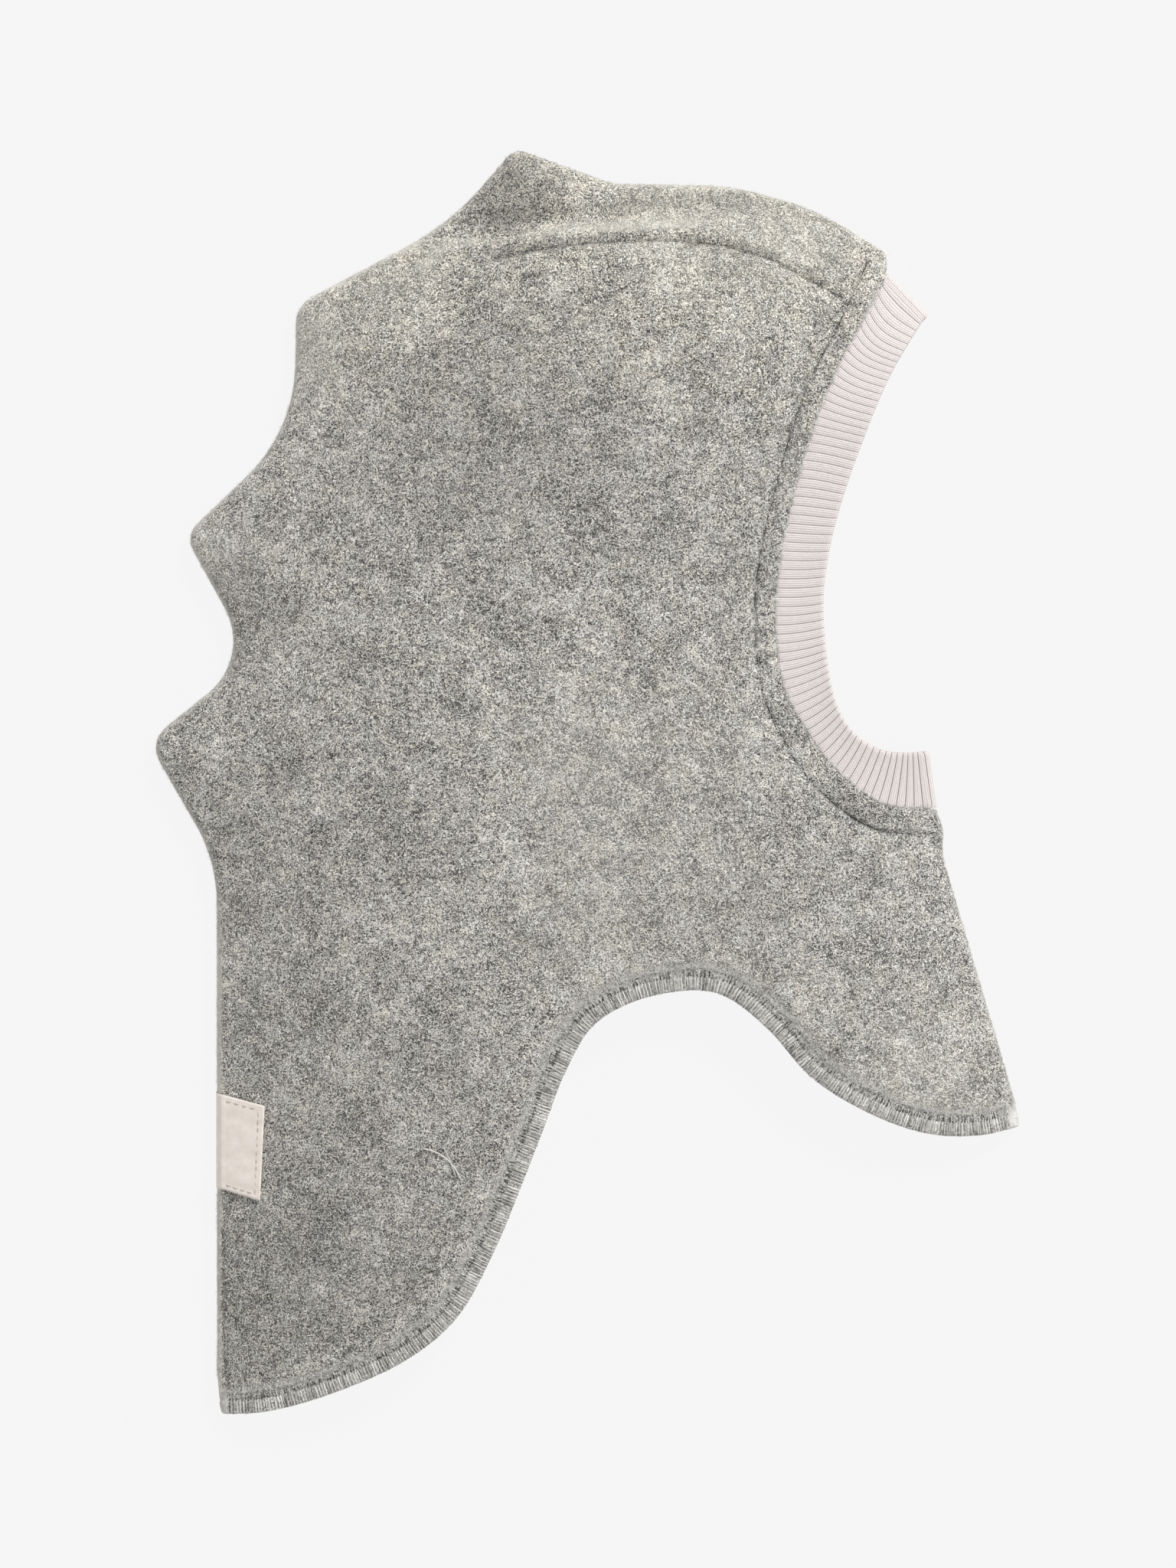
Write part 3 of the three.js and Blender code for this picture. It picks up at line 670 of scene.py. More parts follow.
class Nodes:
    """A material's node tree with short calls to add and join nodes."""

    def __init__(self, name):
        self.material = bpy.data.materials.new(name)
        self.material.use_nodes = True
        self.tree = self.material.node_tree
        self.shader = next(n for n in self.tree.nodes if n.type == "BSDF_PRINCIPLED")
        self.place = self.add("ShaderNodeTexCoord").outputs["Object"]

    def fill(self, node, inputs):
        """Joins each input of a node to a socket, or gives it a value."""
        for key, value in inputs.items():
            if isinstance(value, bpy.types.NodeSocket):
                self.tree.links.new(value, node.inputs[key])
            else:
                node.inputs[key].default_value = value
        return node

    def add(self, kind, inputs=None, **settings):
        node = self.tree.nodes.new(kind)
        for key, value in settings.items():
            setattr(node, key, value)
        return self.fill(node, inputs or {})

    def noise(self, scale, detail=3.0, rough=0.55, distort=0.0, place=None):
        inputs = {"Vector": self.place if place is None else place, "Scale": scale}
        inputs |= {"Detail": detail, "Roughness": rough, "Distortion": distort}
        return self.add("ShaderNodeTexNoise", inputs).outputs[0]

    def cloth(self):
        """The piece's own coordinates, across the cloth and along it."""
        uv = self.add("ShaderNodeUVMap", uv_map="cloth").outputs[0]
        return self.add("ShaderNodeSeparateXYZ", {0: uv}).outputs[:2]

    def island(self):
        """A number that differs from each fibre or thread to the next."""
        return self.add("ShaderNodeNewGeometry").outputs["Random Per Island"]

    def math(self, operation, a, b=0.0, c=0.0):
        return self.add("ShaderNodeMath", {0: a, 1: b, 2: c}, operation=operation).outputs[0]

    def times(self, a, b):
        return self.math("MULTIPLY", a, b)

    def times_plus(self, a, b, c):
        return self.math("MULTIPLY_ADD", a, b, c)

    def apart(self, a, b):
        return self.math("ABSOLUTE", self.math("SUBTRACT", a, b))

    def wave(self, kind, value, turns):
        return self.math(kind, self.times(value, 2 * math.pi * turns))

    def spread(self, value, low, high, to_low=0.0, to_high=1.0):
        inputs = {"Value": value, "From Min": low, "From Max": high}
        inputs |= {"To Min": to_low, "To Max": to_high}
        return self.add("ShaderNodeMapRange", inputs).outputs[0]

    def mix(self, share, a, b, blend="MIX"):
        inputs = {0: share, 6: a, 7: b}
        return self.add("ShaderNodeMix", inputs, data_type="RGBA", blend_type=blend).outputs[2]

    def ramp(self, value, stops):
        node = self.add("ShaderNodeValToRGB", {"Fac": value})
        band = node.color_ramp
        while len(band.elements) < len(stops):
            band.elements.new(0.5)
        for element, (place, colour) in zip(band.elements, stops):
            element.position = place
            element.color = (*colour, 1)
        return node.outputs[0]

    def shaded(self, colour):
        """The colour, darkened by painted shade and paled by painted highlight, both from the
        piece's attribute of painted light and tone.
        """
        painted_light_and_tone = self.add("ShaderNodeAttribute", attribute_name="painted_light_and_tone").outputs["Fac"]
        # Positive values mix in a painted shadow colour, negative ones a pale warm painted
        # highlight; the broad melange tone zones use the same two colours.
        darker = self.mix(self.spread(painted_light_and_tone, 0, 1), colour, (0.05, 0.049, 0.045, 1))
        return self.mix(self.spread(painted_light_and_tone, 0, -1), darker, (0.74, 0.72, 0.64, 1))

    def finish(self, colour, height, bump_strength, bump_distance, roughness, sheen):
        bump = {"Height": height, "Strength": bump_strength, "Distance": bump_distance}
        self.fill(self.shader, {
            "Base Color": colour,
            "Normal": self.add("ShaderNodeBump", bump).outputs[0],
            "Roughness": roughness,
            "Specular IOR Level": 0.2,
            "Sheen Weight": sheen,
            "Sheen Roughness": 0.6,
        })
        return self.material


def wool_strokes(nodes, tuft, hair, slim, shift):
    """Fine parallel hairs in tufts that each lie their own way."""

    def vector(operation, a, b):
        return nodes.add("ShaderNodeVectorMath", {0: a, 1: b}, operation=operation).outputs[0]

    moved = vector("ADD", nodes.place, (shift, shift * 0.7, 0))
    cells = nodes.add("ShaderNodeTexVoronoi", {"Vector": moved, "Scale": tuft})
    colour, centre = cells.outputs["Color"], cells.outputs["Position"]
    angle = nodes.times(nodes.add("ShaderNodeSeparateColor", {0: colour}).outputs[0], math.pi)
    turn = {"Vector": vector("SUBTRACT", moved, centre), "Angle": angle}
    turned = nodes.add("ShaderNodeVectorRotate", turn, rotation_type="Z_AXIS").outputs[0]
    slimmed = vector("MULTIPLY", turned, (slim, 1, 1))
    return nodes.noise(hair, 2, 0.6, 0.6, vector("ADD", slimmed, colour))


def fleece_material():
    nodes = Nodes("fleece_melange")
    turn = {"Vector": nodes.place, "Rotation": (0, 0, 0.25), "Scale": (0.7, 1, 1)}
    turned = nodes.add("ShaderNodeMapping", turn).outputs[0]
    cloud = nodes.noise(70, 3, 0.5, 0.4)
    patch = nodes.noise(230, 3, 0.55, 1.0, turned)
    clump = nodes.noise(520, 4, 0.65, 1.0, turned)
    first = wool_strokes(nodes, 480, 3200, 0.22, 0.0)
    second = wool_strokes(nodes, 620, 4300, 0.25, 0.31)
    third = wool_strokes(nodes, 380, 2700, 0.2, 0.67)
    grain = nodes.noise(2400, 2, 0.6, 0.6)
    layers = [(cloud, 0.68), (patch, 0.7), (clump, 0.62), (first, 1.5), (second, 1.75)]
    value = 0.0
    for layer, share in [*layers, (third, 1.05), (grain, 3.4)]:
        value = nodes.times_plus(nodes.math("SUBTRACT", layer, 0.5), share, value)
    colour = nodes.ramp(nodes.spread(value, -0.42, 0.45), [
        (0.0, (0.04, 0.038, 0.036)),
        (0.25, (0.155, 0.151, 0.142)),
        (0.5, (0.38, 0.371, 0.350)),
        (0.75, (0.64, 0.625, 0.589)),
        (1.0, (0.94, 0.918, 0.866)),
    ])
    warm = nodes.spread(nodes.noise(160, 2, 0.5, 0.5), 0.35, 0.68)
    speck = nodes.spread(nodes.noise(1300, 2, 0.6, 0.8), 0.3, 0.7)
    # Toward the crown the cloth is painted paler and warmer as a highlight where it slopes to the
    # key light, and a little darker below; the warm and speck tints are the melange's own colour.
    crown_highlight_y = nodes.add("ShaderNodeSeparateXYZ", {0: nodes.place}).outputs[1]
    for share, low_tint, high_tint in (
        (warm, (0.99, 1.0, 1.01, 1), (1.02, 0.998, 0.955, 1)),
        (speck, (0.965, 1.005, 1.04, 1), (1.045, 0.995, 0.945, 1)),
        (nodes.spread(crown_highlight_y, 0.09, 0.15), (0.965, 0.965, 0.965, 1), (1.10, 1.088, 1.038, 1)),
    ):
        colour = nodes.mix(1.0, colour, nodes.mix(share, low_tint, high_tint), "MULTIPLY")
    coarse = nodes.times_plus(clump, 0.8, first)
    height = nodes.math("ADD", coarse, nodes.math("ADD", second, third))
    return nodes.finish(nodes.shaded(colour), height, 0.6, 0.0004, 0.95, 0.25)


def fibre_material(name, dark, light):
    nodes = Nodes(name)
    # The fibres carry the painted shade, painted highlight and tone of the face under them.
    colour = nodes.shaded(nodes.ramp(nodes.island(), [(0.0, dark), (1.0, light)]))
    return nodes.finish(colour, nodes.noise(2500, 2), 0.1, 0.0001, 0.9, 0.1)


def rib_material():
    """Rib knit: columns of tiny stitches along each rib. u runs across the band, v along it."""
    nodes = Nodes("rib_knit_cream")
    across, along = nodes.cloth()
    columns = nodes.wave("COSINE", along, 4)
    dots = nodes.times(columns, nodes.wave("SINE", across, 1 / 0.62))
    valley = nodes.spread(nodes.apart(nodes.math("FRACT", along), 0.5), 0.02, 0.075, 1.0, 0.0)
    fuzz = nodes.noise(1300, 3, 0.7, 1.0)
    stitches = nodes.times_plus(dots, 0.7, nodes.times(columns, -0.6))
    colour = nodes.ramp(nodes.spread(nodes.times_plus(fuzz, 1.5, stitches), -0.35, 1.75), [
        (0.0, (0.44, 0.385, 0.375)),
        (0.4, (0.66, 0.60, 0.585)),
        (1.0, (0.86, 0.805, 0.785)),
    ])
    from_top = nodes.apart(along, RIB_COUNT + TURN_RIBS / 2)
    # Painted shade in the valleys between the ribs, stronger toward the opening and toward the
    # chin.
    deep = nodes.times(valley, nodes.spread(across, 0, 11, 0.6, 1.0))
    deep = nodes.times(deep, nodes.spread(from_top, 0.5 * RIB_COUNT, RIB_COUNT, 0.34, 1.35))
    # Painted shade over the chin end of the band.
    chin = nodes.spread(from_top, 0.7 * RIB_COUNT, RIB_COUNT, 0.0, 0.12)
    soft = nodes.spread(nodes.noise(120, 2), 0.3, 0.7, 0.0, 0.12)
    colour = nodes.mix(deep, colour, (0.24, 0.205, 0.195, 1))
    colour = nodes.mix(chin, colour, (0.30, 0.27, 0.26, 1))
    colour = nodes.mix(soft, colour, (0.62, 0.58, 0.56, 1))
    return nodes.finish(colour, nodes.times_plus(stitches, 0.7, fuzz), 0.5, 0.0002, 0.85, 0.15)


def overlock_material():
    """The thread-covered edge under the stitches: u runs across the hem, v counts stitches."""
    nodes = Nodes("overlock_edge")
    across, along = nodes.cloth()
    sideways = nodes.times(nodes.apart(nodes.math("FRACT", along), 0.5), 0.22)
    stitch = nodes.math("FLOOR", along)
    chance = nodes.add("ShaderNodeTexWhiteNoise", {"W": stitch}, noise_dimensions="1D").outputs[0]

    def needle_hole_shade(line, near, far, depth):
        reach = nodes.math("ADD", sideways, nodes.apart(across, line))
        return nodes.spread(reach, near, far, depth, 0.0)

    # Painted shade in the needle holes along the needle line, and fainter along the second line.
    hole = nodes.spread(chance, 0.0, 0.5, 0.35, 1.0)
    hole = nodes.times(needle_hole_shade(NEEDLE_LINE, 0.05, 0.085, 1.0), hole)
    faint = nodes.times(needle_hole_shade(SECOND_LINE, 0.03, 0.06, 0.9), nodes.spread(chance, 0.3, 0.6))
    hole = nodes.math("MAXIMUM", hole, faint)
    streak = nodes.noise(1100, 3, 0.6, 1.0)
    shade = nodes.times_plus(nodes.noise(260, 3), 0.55, nodes.times(streak, 0.8))
    shade = nodes.times_plus(nodes.wave("COSINE", along, 2), 0.10, shade)
    shade = nodes.times_plus(chance, 0.3, shade)
    colour = nodes.ramp(nodes.spread(shade, 0.4, 1.15), [
        (0.0, (0.08, 0.079, 0.074)),
        (0.5, (0.35, 0.343, 0.323)),
        (1.0, (0.74, 0.73, 0.69)),
    ])
    inner = nodes.spread(across, 0.2, NEEDLE_LINE + 0.1, 1.0, 0.0)
    colour = nodes.mix(nodes.times(inner, 0.4), colour, (0.52, 0.51, 0.48, 1))
    # The painted hole shade mixed in as a near-black colour.
    colour = nodes.mix(nodes.times(hole, 0.75), colour, (0.02, 0.02, 0.019, 1))
    return nodes.finish(colour, streak, 0.6, 0.0003, 0.9, 0.1)


def thread_material(name, dark, light):
    nodes = Nodes(name)
    twist = nodes.noise(2200, 3, 0.6, 1.0)
    value = nodes.times_plus(twist, 0.4, nodes.times(nodes.noise(240, 3, 0.6), 0.6))
    value = nodes.times_plus(nodes.island(), 0.55, value)
    colour = nodes.ramp(nodes.spread(value, 0.4, 1.15), [(0.0, dark), (1.0, light)])
    return nodes.finish(colour, twist, 0.4, 0.0001, 0.8, 0.1)


def label_material():
    """Fine woven label cloth. u runs across the label and v along it, in millimetres."""
    nodes = Nodes("label_weave")
    across, along = nodes.cloth()
    weave = nodes.times(nodes.wave("SINE", across, 1 / 0.24), nodes.wave("SINE", along, 1 / 0.3))
    shade = nodes.times_plus(weave, 0.10, nodes.noise(420, 3, 0.6))
    colour = nodes.ramp(nodes.spread(shade, 0.25, 0.75), [
        (0.0, (0.76, 0.68, 0.615)),
        (0.5, (0.82, 0.745, 0.68)),
        (1.0, (0.88, 0.82, 0.76)),
    ])
    return nodes.finish(colour, weave, 0.25, 0.0001, 0.55, 0.1)


# Camera, light and floor


def add_camera():
    camera = add_object("camera", bpy.data.cameras.new("camera"))
    camera.location = (
        (PHOTO_CENTRE[0] + frame_shift[0]) * MM,
        (PHOTO_CENTRE[1] + frame_shift[1]) * MM,
        (CAMERA_DISTANCE + SEAM_HEIGHT) * MM,
    )
    camera.data.sensor_width = SENSOR
    camera.data.lens = SENSOR * CAMERA_DISTANCE / (PHOTO_HEIGHT * PIXEL)
    camera.data.clip_start = 0.05
    camera.data.clip_end = 20
    bpy.context.scene.camera = camera


def add_area_light(name, place, size, power):
    lamp = bpy.data.lights.new(name, "AREA")
    lamp.shape = "DISK"
    lamp.size = size
    lamp.energy = power
    holder = add_object(name, lamp)
    holder.location = place
    holder.rotation_euler = (-Vector(place)).to_track_quat("-Z", "Y").to_euler()


def add_studio():
    world = bpy.data.worlds.new("studio")
    world.use_nodes = True
    background = world.node_tree.nodes["Background"]
    background.inputs["Color"].default_value = (1.0, 0.995, 0.99, 1)
    background.inputs["Strength"].default_value = 0.40
    bpy.context.scene.world = world
    add_area_light("key", (1.45, 2.25, 1.95), 0.7, 100.0)
    add_area_light("fill", (0.6, -0.55, 0.7), 0.5, 2.6)
    add_area_light("side", (-1.1, -0.1, 0.35), 0.9, 2.4)

    nodes = Nodes("pale_floor")
    nodes.fill(nodes.shader, {
        "Base Color": (0.02, 0.02, 0.02, 1),
        "Emission Color": (1, 1, 1, 1),
        "Emission Strength": 0.896,
        "Roughness": 0.9,
        "Specular IOR Level": 0.0,
    })
    mesh = bpy.data.meshes.new("floor")
    far = 6.0
    corners = [(-far, -far, 0), (far, -far, 0), (far, far, 0), (-far, far, 0)]
    mesh.from_pydata(corners, [], [(0, 1, 2, 3)])
    mesh.materials.append(nodes.material)
    floor = add_object("floor", mesh)
    bpy.context.scene.view_settings.view_transform = "Standard"


# Fleece halves


def make_fleece(material):
    upper = fleece_half(True, 1.1, 1.1, 4.5, [facing_seam, dart_seam, back_seam])
    lower = fleece_half(False, 1.4, 2.2, 6.0, [])
    pieces, surfaces = [], []
    for name, half, lumps in (("fleece_right", upper, 0.2), ("fleece_left", lower, 0.12)):
        points, faces, outer_count, painted_light_and_tone = half
        points = felt(points, vertex_normals(points, faces), outer_count, lumps)
        points[:, 2] = np.maximum(points[:, 2], 0.02)
        pieces.append(new_piece(name, points, faces, material, painted_light_and_tone=painted_light_and_tone))
        surfaces.append((points, faces, outer_count, painted_light_and_tone))
    right, left = pieces
    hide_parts("shell_right")
    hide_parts("shell_left")
    return right, left, *surfaces


# Fibres of the brushed face


def fibres(name, surface, count, length, width, lift, material):
    """Short bent ribbons in the pile of a surface, each lifted a little. None is on the label."""
    points, faces, outer_count, painted_light_and_tone = surface
    outer = faces[(faces < outer_count).all(1)]
    # No fibres grow where the painted shade is strong, so the painted groove shadows stay dark.
    outer = outer[painted_light_and_tone[outer].max(1) < BARE_SHADE]
    a, b, c = (points[outer[:, k]] for k in range(3))
    cross = np.cross(b - a, c - a)
    area = np.linalg.norm(cross, axis=1)
    middle = (a + b + c)[:, :2] / 3
    beside_label = np.abs(middle[:, 1] - LABEL_MIDDLE) < LABEL_CLEAR
    weight = np.where(beside_label & (middle[:, 0] < BACK_X + LABEL_LEG), 0, area)
    pick = rng.choice(len(outer), count, p=weight / weight.sum())
    u, v = rng.random((2, count, 1))
    flip = u + v > 1
    u, v = np.where(flip, 1 - u, u), np.where(flip, 1 - v, v)
    root = a[pick] + u * (b - a)[pick] + v * (c - a)[pick]
    normal = (cross / area[:, None])[pick]
    drift = np.array([noise.noise(Vector(p) * 0.07) for p in root])[:, None]
    heading = drift * 5 + rng.normal(0, 0.95, (count, 1))
    # Each fibre takes the painted light and tone of the face under it.
    shade = painted_light_and_tone[outer[pick]].mean(1)
    return ribbons(name, root, normal, heading, length, width, lift, material, shade)


def ribbons(name, root, normal, heading, length, width, lift, material, shade):
    """One mesh of bent ribbons through the root points, turned by their headings."""
    count = len(root)
    side = np.cross(normal, np.array([0.31, 0.95, 0.05]))
    side /= np.linalg.norm(side, axis=1, keepdims=True)
    ahead = np.cross(side, normal)
    reach = rng.uniform(*length, (count, 1)) * rng.choice([-1, 1], (count, 1))
    bend = rng.normal(0, 0.28, (count, 1))
    rise = normal * rng.uniform(*lift, (count, 1))
    half = rng.uniform(*width, (count, 1)) / 2
    forward = np.cos(heading) * ahead + np.sin(heading) * side
    across = -np.sin(heading) * ahead + np.cos(heading) * side
    start = root - forward * reach / 2 + rise * 0.15
    middle = root + across * reach * bend + rise
    end = root + forward * reach / 2 + rise * 0.55
    rows = [start + across * half * 0.4, start - across * half * 0.4, middle + across * half]
    rows += [middle - across * half, end + across * half * 0.3, end - across * half * 0.3]
    vertices = np.stack(rows, 1).reshape(-1, 3)
    vertices[:, 2] = np.maximum(vertices[:, 2], FLOOR_GAP)
    quads = np.arange(count)[:, None, None] * 6 + np.array([[0, 1, 3, 2], [2, 3, 5, 4]])
    painted_light_and_tone = np.repeat(shade, 6)
    return new_piece(name, vertices, quads.reshape(-1, 4), material, painted_light_and_tone=painted_light_and_tone)


def level_ribbons(name, root, length, lift, material):
    """Ribbons through points of a level face, turned any way."""
    normal = np.tile([0.02, 0.03, 0.999], (len(root), 1))
    heading = rng.uniform(-math.pi, math.pi, (len(root), 1))
    shade = np.zeros(len(root))
    return ribbons(name, root, normal, heading, length, FIBRE_WIDTH, lift, material, shade)


def edge_fibres(name, count, material):
    """Fibres of the fleece that lie over its seams with the hem and the rib band."""
    roots = []
    for path, inset, share in ((hem_meet, 0.6, 0.66), (face_meet, 0.2, 0.34)):
        places = rng.uniform(1, lengths_along(path)[-1] - 1, int(count * share))
        flat = points_at(offset_path(path, inset), places) + rng.normal(0, 0.45, (len(places), 2))
        roots.append(np.column_stack([flat, 2 * FLEECE - 0.55 + layer_gap(flat)]))
    return level_ribbons(name, np.vstack(roots), (1.0, 2.2), (0.2, 0.5), material)


def hem_fibres(name, count, material):
    """Fibres that lie over the hem, more of them inside the needle line than outside it."""
    rows = np.linspace(0.14, 0.9, 9)
    profile = [(row, 1.0) for row in rows]
    _, upper = hem_layers(rng.random(count), profile, hem_relief)
    weight = np.where(rows < NEEDLE_LINE, 2.2, 1.0)
    row = rng.choice(len(rows), count, p=weight / weight.sum())
    root = upper[np.arange(count), row]
    root = root + rng.normal(0, 0.2, root.shape) * [1, 1, 0]
    return level_ribbons(name, root, (0.9, 2.1), (0.15, 0.4), material)


def seam_groove_shadows(surface, material):
    """Near-black stretches that stand for the shade at the bottom of the seam beside the rib band,
    most of them at its dimples.
    """
    places = np.arange(1.2, lengths_along(facing_seam)[-1] - 2.5, 1.4)
    places = places[rng.random(len(places)) < 0.42 + 0.55 * dimple_pull(places, 2.0)]
    reach = np.linspace(0, 1, 6) * rng.uniform(0.7, 2.0, (len(places), 1))
    flat = points_at(facing_seam, (places[:, None] + reach).ravel())
    flat = flat + np.repeat(rng.normal(0, 0.08, (len(places), 2)), 6, axis=0)
    outer = surface[0][: surface[2]]
    height = outer[nearest_to(outer[:, :2], flat, 100), 2]
    paths = np.column_stack([flat, height]).reshape(len(places), 6, 3)
    bundles = [(paths, rng.uniform(0.09, 0.2, len(paths)))]
    return thread_piece("seam_groove_shadow", bundles, material)


# Folded loops: the rib band and the hem


def loop_sections(seam, edge, stations, thickness, profile, along_shift, relief):
    """Rings of points of a strip that goes out on the lower layer and comes back on the upper.

    A seam with as many points as the edge is joined to it point by point, square to it.
    stations are shares of the strip's length, profile rows of (across, depth) run round its
    section, and relief gives the loss of thickness at a station and a distance across.
    """
    inset = thickness + CLEARANCE
    across, depth = np.array(profile).T
    seam_marks = lengths_along(edge if len(seam) == len(edge) else seam)
    edge_marks = lengths_along(edge)

    def place(share):
        shifted = np.clip(share[:, None] + along_shift(share[:, None], across), 0, 1)
        sides = []
        for path, marks in ((seam, seam_marks), (edge, edge_marks)):
            at = inset + shifted * (marks[-1] - 2 * inset)
            sides.append(np.stack([np.interp(at, marks, path[:, k]) for k in (0, 1)], axis=-1))
        near, far = sides
        return near + (far - near) * across[:, None]

    def turned(share, angle, facing, phase):
        flat = place(share)
        line = flat[:, across.argmax()] - flat[:, 0]
        line /= np.linalg.norm(line, axis=1, keepdims=True)
        out = facing * np.stack([-line[:, 1], line[:, 0]], 1)
        half = layer_gap(flat) / 2
        radius = half + thickness * depth - relief(phase[:, None], across) * (depth > 0.3)
        turn = np.radians(angle)[:, None]
        reach = radius * np.cos(turn)
        height = thickness + half + radius * np.sin(turn)
        return np.dstack([flat + out[:, None] * reach[..., None], height])

    angles = np.linspace(-90, 90, TURN_STEPS + 2)[1:-1]
    ribs = np.linspace(0, TURN_RIBS / RIB_COUNT, TURN_STEPS + 2)[1:-1]
    upright = np.full(len(stations), 90.0)
    return np.concatenate([
        turned(stations, -upright, 1, stations),
        turned(np.ones(TURN_STEPS), angles, 1, 1 + ribs),
        turned(stations[::-1], upright, 1, stations[::-1]),
        turned(np.zeros(TURN_STEPS), angles[::-1], -1, -ribs),
    ])


def loop_faces(rings, size):
    here = np.arange(rings * size).reshape(rings, size)
    there = np.roll(here, -1, axis=0)
    return np.stack([here, np.roll(here, -1, 1), np.roll(there, -1, 1), there], -1).reshape(-1, 4)


def outward(points, faces):
    """The faces, turned so that the closed mesh has its outside out."""
    a, b, c = (points[faces[:, k]] for k in range(3))
    volume = (a * np.cross(b, c)).sum()
    return faces if volume > 0 else faces[:, ::-1]


def strip_profile(outer_steps, edge_share, edge_steps, inner_steps):
    """Section of a strip: outer face from the seam, round free edge, inner face back."""
    outer = [(v, 1.0) for v in np.linspace(0, 1 - edge_share, outer_steps)]
    turn = [math.radians(a) for a in np.linspace(90, -90, edge_steps + 2)[1:-1]]
    rim = [(1 - edge_share * (1 - math.cos(a)), 0.5 + 0.5 * math.sin(a)) for a in turn]
    inner = [(v, 0.0) for v in np.linspace(1 - edge_share, 0, inner_steps)]
    back = [(0.0, 0.35), (0.0, 0.7)]
    return [(0.0, 0.97)] + [(0.006, 1.0)] + outer[1:] + rim + inner + back


def strip_piece(name, rings, profile, width, counts, material):
    """A closed strip from its rings. Its coordinates run over its width and count along it."""
    points = rings.reshape(-1, 3)
    faces = outward(points, loop_faces(len(rings), len(profile)))
    across = np.array(profile)[:, 0] * width
    uv = np.dstack(np.broadcast_arrays(across, counts[:, None])).reshape(-1, 2)
    return new_piece(name, points, faces, material, uv)


def rib_shift(share, across):
    """Along-strip shift, as a share, that fans the ribs out and bends them near the forehead."""
    length = lengths_along(face_seam)[-1]
    fan = np.interp(share, *np.array(RIB_FAN).T) - share
    from_top = (1 - share) * length
    bend = RIB_BEND * np.exp(-from_top / RIB_BEND_REACH) * (1 - np.exp(-from_top / 8))
    arch = RIB_ARCH * np.exp(-(((from_top - 62) / 20) ** 2))
    return fan * across - (bend - arch) * np.sin(math.pi * across**0.85) / length


def rib_relief(phase, across):
    """How much thinner the knit is in the valleys between its ribs."""
    from_valley = np.abs(phase * RIB_COUNT % 1 - 0.5)
    valley = np.exp(-((from_valley / 0.065) ** 2))
    return RIB_VALLEY * valley + 0.07 * np.cos(math.pi * from_valley) ** 2


def make_face_band(material):
    marks = np.array([0, 0.14, 0.26, 0.35, 0.41, 0.455, 0.5, 0.545, 0.59, 0.65, 0.74, 0.86])
    stations = np.concatenate([(np.arange(RIB_COUNT)[:, None] + marks).ravel() / RIB_COUNT, [1.0]])
    profile = strip_profile(20, 0.08, 7, 7)
    seam = offset_path(face_seam, -CLEARANCE)
    rings = loop_sections(seam, opening_edge, stations, RIB_KNIT, profile, rib_shift, rib_relief)
    turn = np.linspace(0, TURN_RIBS, TURN_STEPS + 2)[1:-1]
    there = RIB_COUNT + TURN_RIBS
    counts = [stations * RIB_COUNT, RIB_COUNT + turn, there + (1 - stations[::-1]) * RIB_COUNT]
    counts = np.concatenate([*counts, there + RIB_COUNT + turn])
    band = strip_piece("rib_band", rings, profile, RIB_WIDTH, counts, material)
    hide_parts("face_band")
    return band


def nothing(share, across):
    """No shift along a strip, or no relief on it."""
    return 0.0


def hem_relief(phase, across):
    """The needle line draws the hem in, and its free edge is thinner."""
    needle = 0.15 * np.exp(-(((across - NEEDLE_LINE) / 0.06) ** 2))
    return needle + 0.35 * smoothstep(across, 0.55, 1.0)


def hem_rings(stations, profile, relief):
    return loop_sections(hem_inside, hem_edge, stations, OVERLOCK, profile, nothing, relief)


def hem_layers(stations, profile, relief=nothing):
    """Rows of points over the lower layer of the hem, and over its upper layer."""
    count = len(stations)
    rings = hem_rings(stations, profile, relief)
    return rings[:count], rings[count + TURN_STEPS : 2 * count + TURN_STEPS]


def stitch_count():
    return round(lengths_along(hem_edge)[-1] / STITCH_PITCH)


def make_hem(material):
    stations = np.linspace(0, 1, 420)
    profile = strip_profile(14, 0.13, 5, 5)
    rings = hem_rings(stations, profile, hem_relief)
    shares = [stations, np.ones(TURN_STEPS), stations[::-1], np.zeros(TURN_STEPS)]
    counts = np.concatenate(shares) * stitch_count()
    hem = strip_piece("hem_edge", rings, profile, 1, counts, material)
    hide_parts("hem_overlock")
    return hem


def tubes(paths, radius, sides=5):
    """Round threads along paths that all have as many points, with one radius or one each."""
    paths = np.asarray(paths, float)
    count, steps, _ = paths.shape
    radius = np.broadcast_to(radius, (count,))[:, None, None, None]
    along = np.gradient(paths, axis=1)
    along /= np.linalg.norm(along, axis=2, keepdims=True)
    up = np.array([0.05, 0.03, 1.0])
    side = np.cross(along, up)
    side /= np.linalg.norm(side, axis=2, keepdims=True)
    top = np.cross(side, along)
    turn = np.arange(sides) * 2 * math.pi / sides
    ring = side[:, :, None] * np.cos(turn)[:, None] + top[:, :, None] * np.sin(turn)[:, None]
    taper = np.ones(steps)
    taper[[0, -1]] = 0.35
    points = paths[:, :, None] + radius * taper[:, None, None] * ring
    here = np.arange(count * steps * sides).reshape(count, steps, sides)
    beside = np.roll(here, -1, 2)
    quads = np.stack([here[:, :-1], beside[:, :-1], beside[:, 1:], here[:, 1:]], -1)
    return points.reshape(-1, 3), quads.reshape(-1, 4)


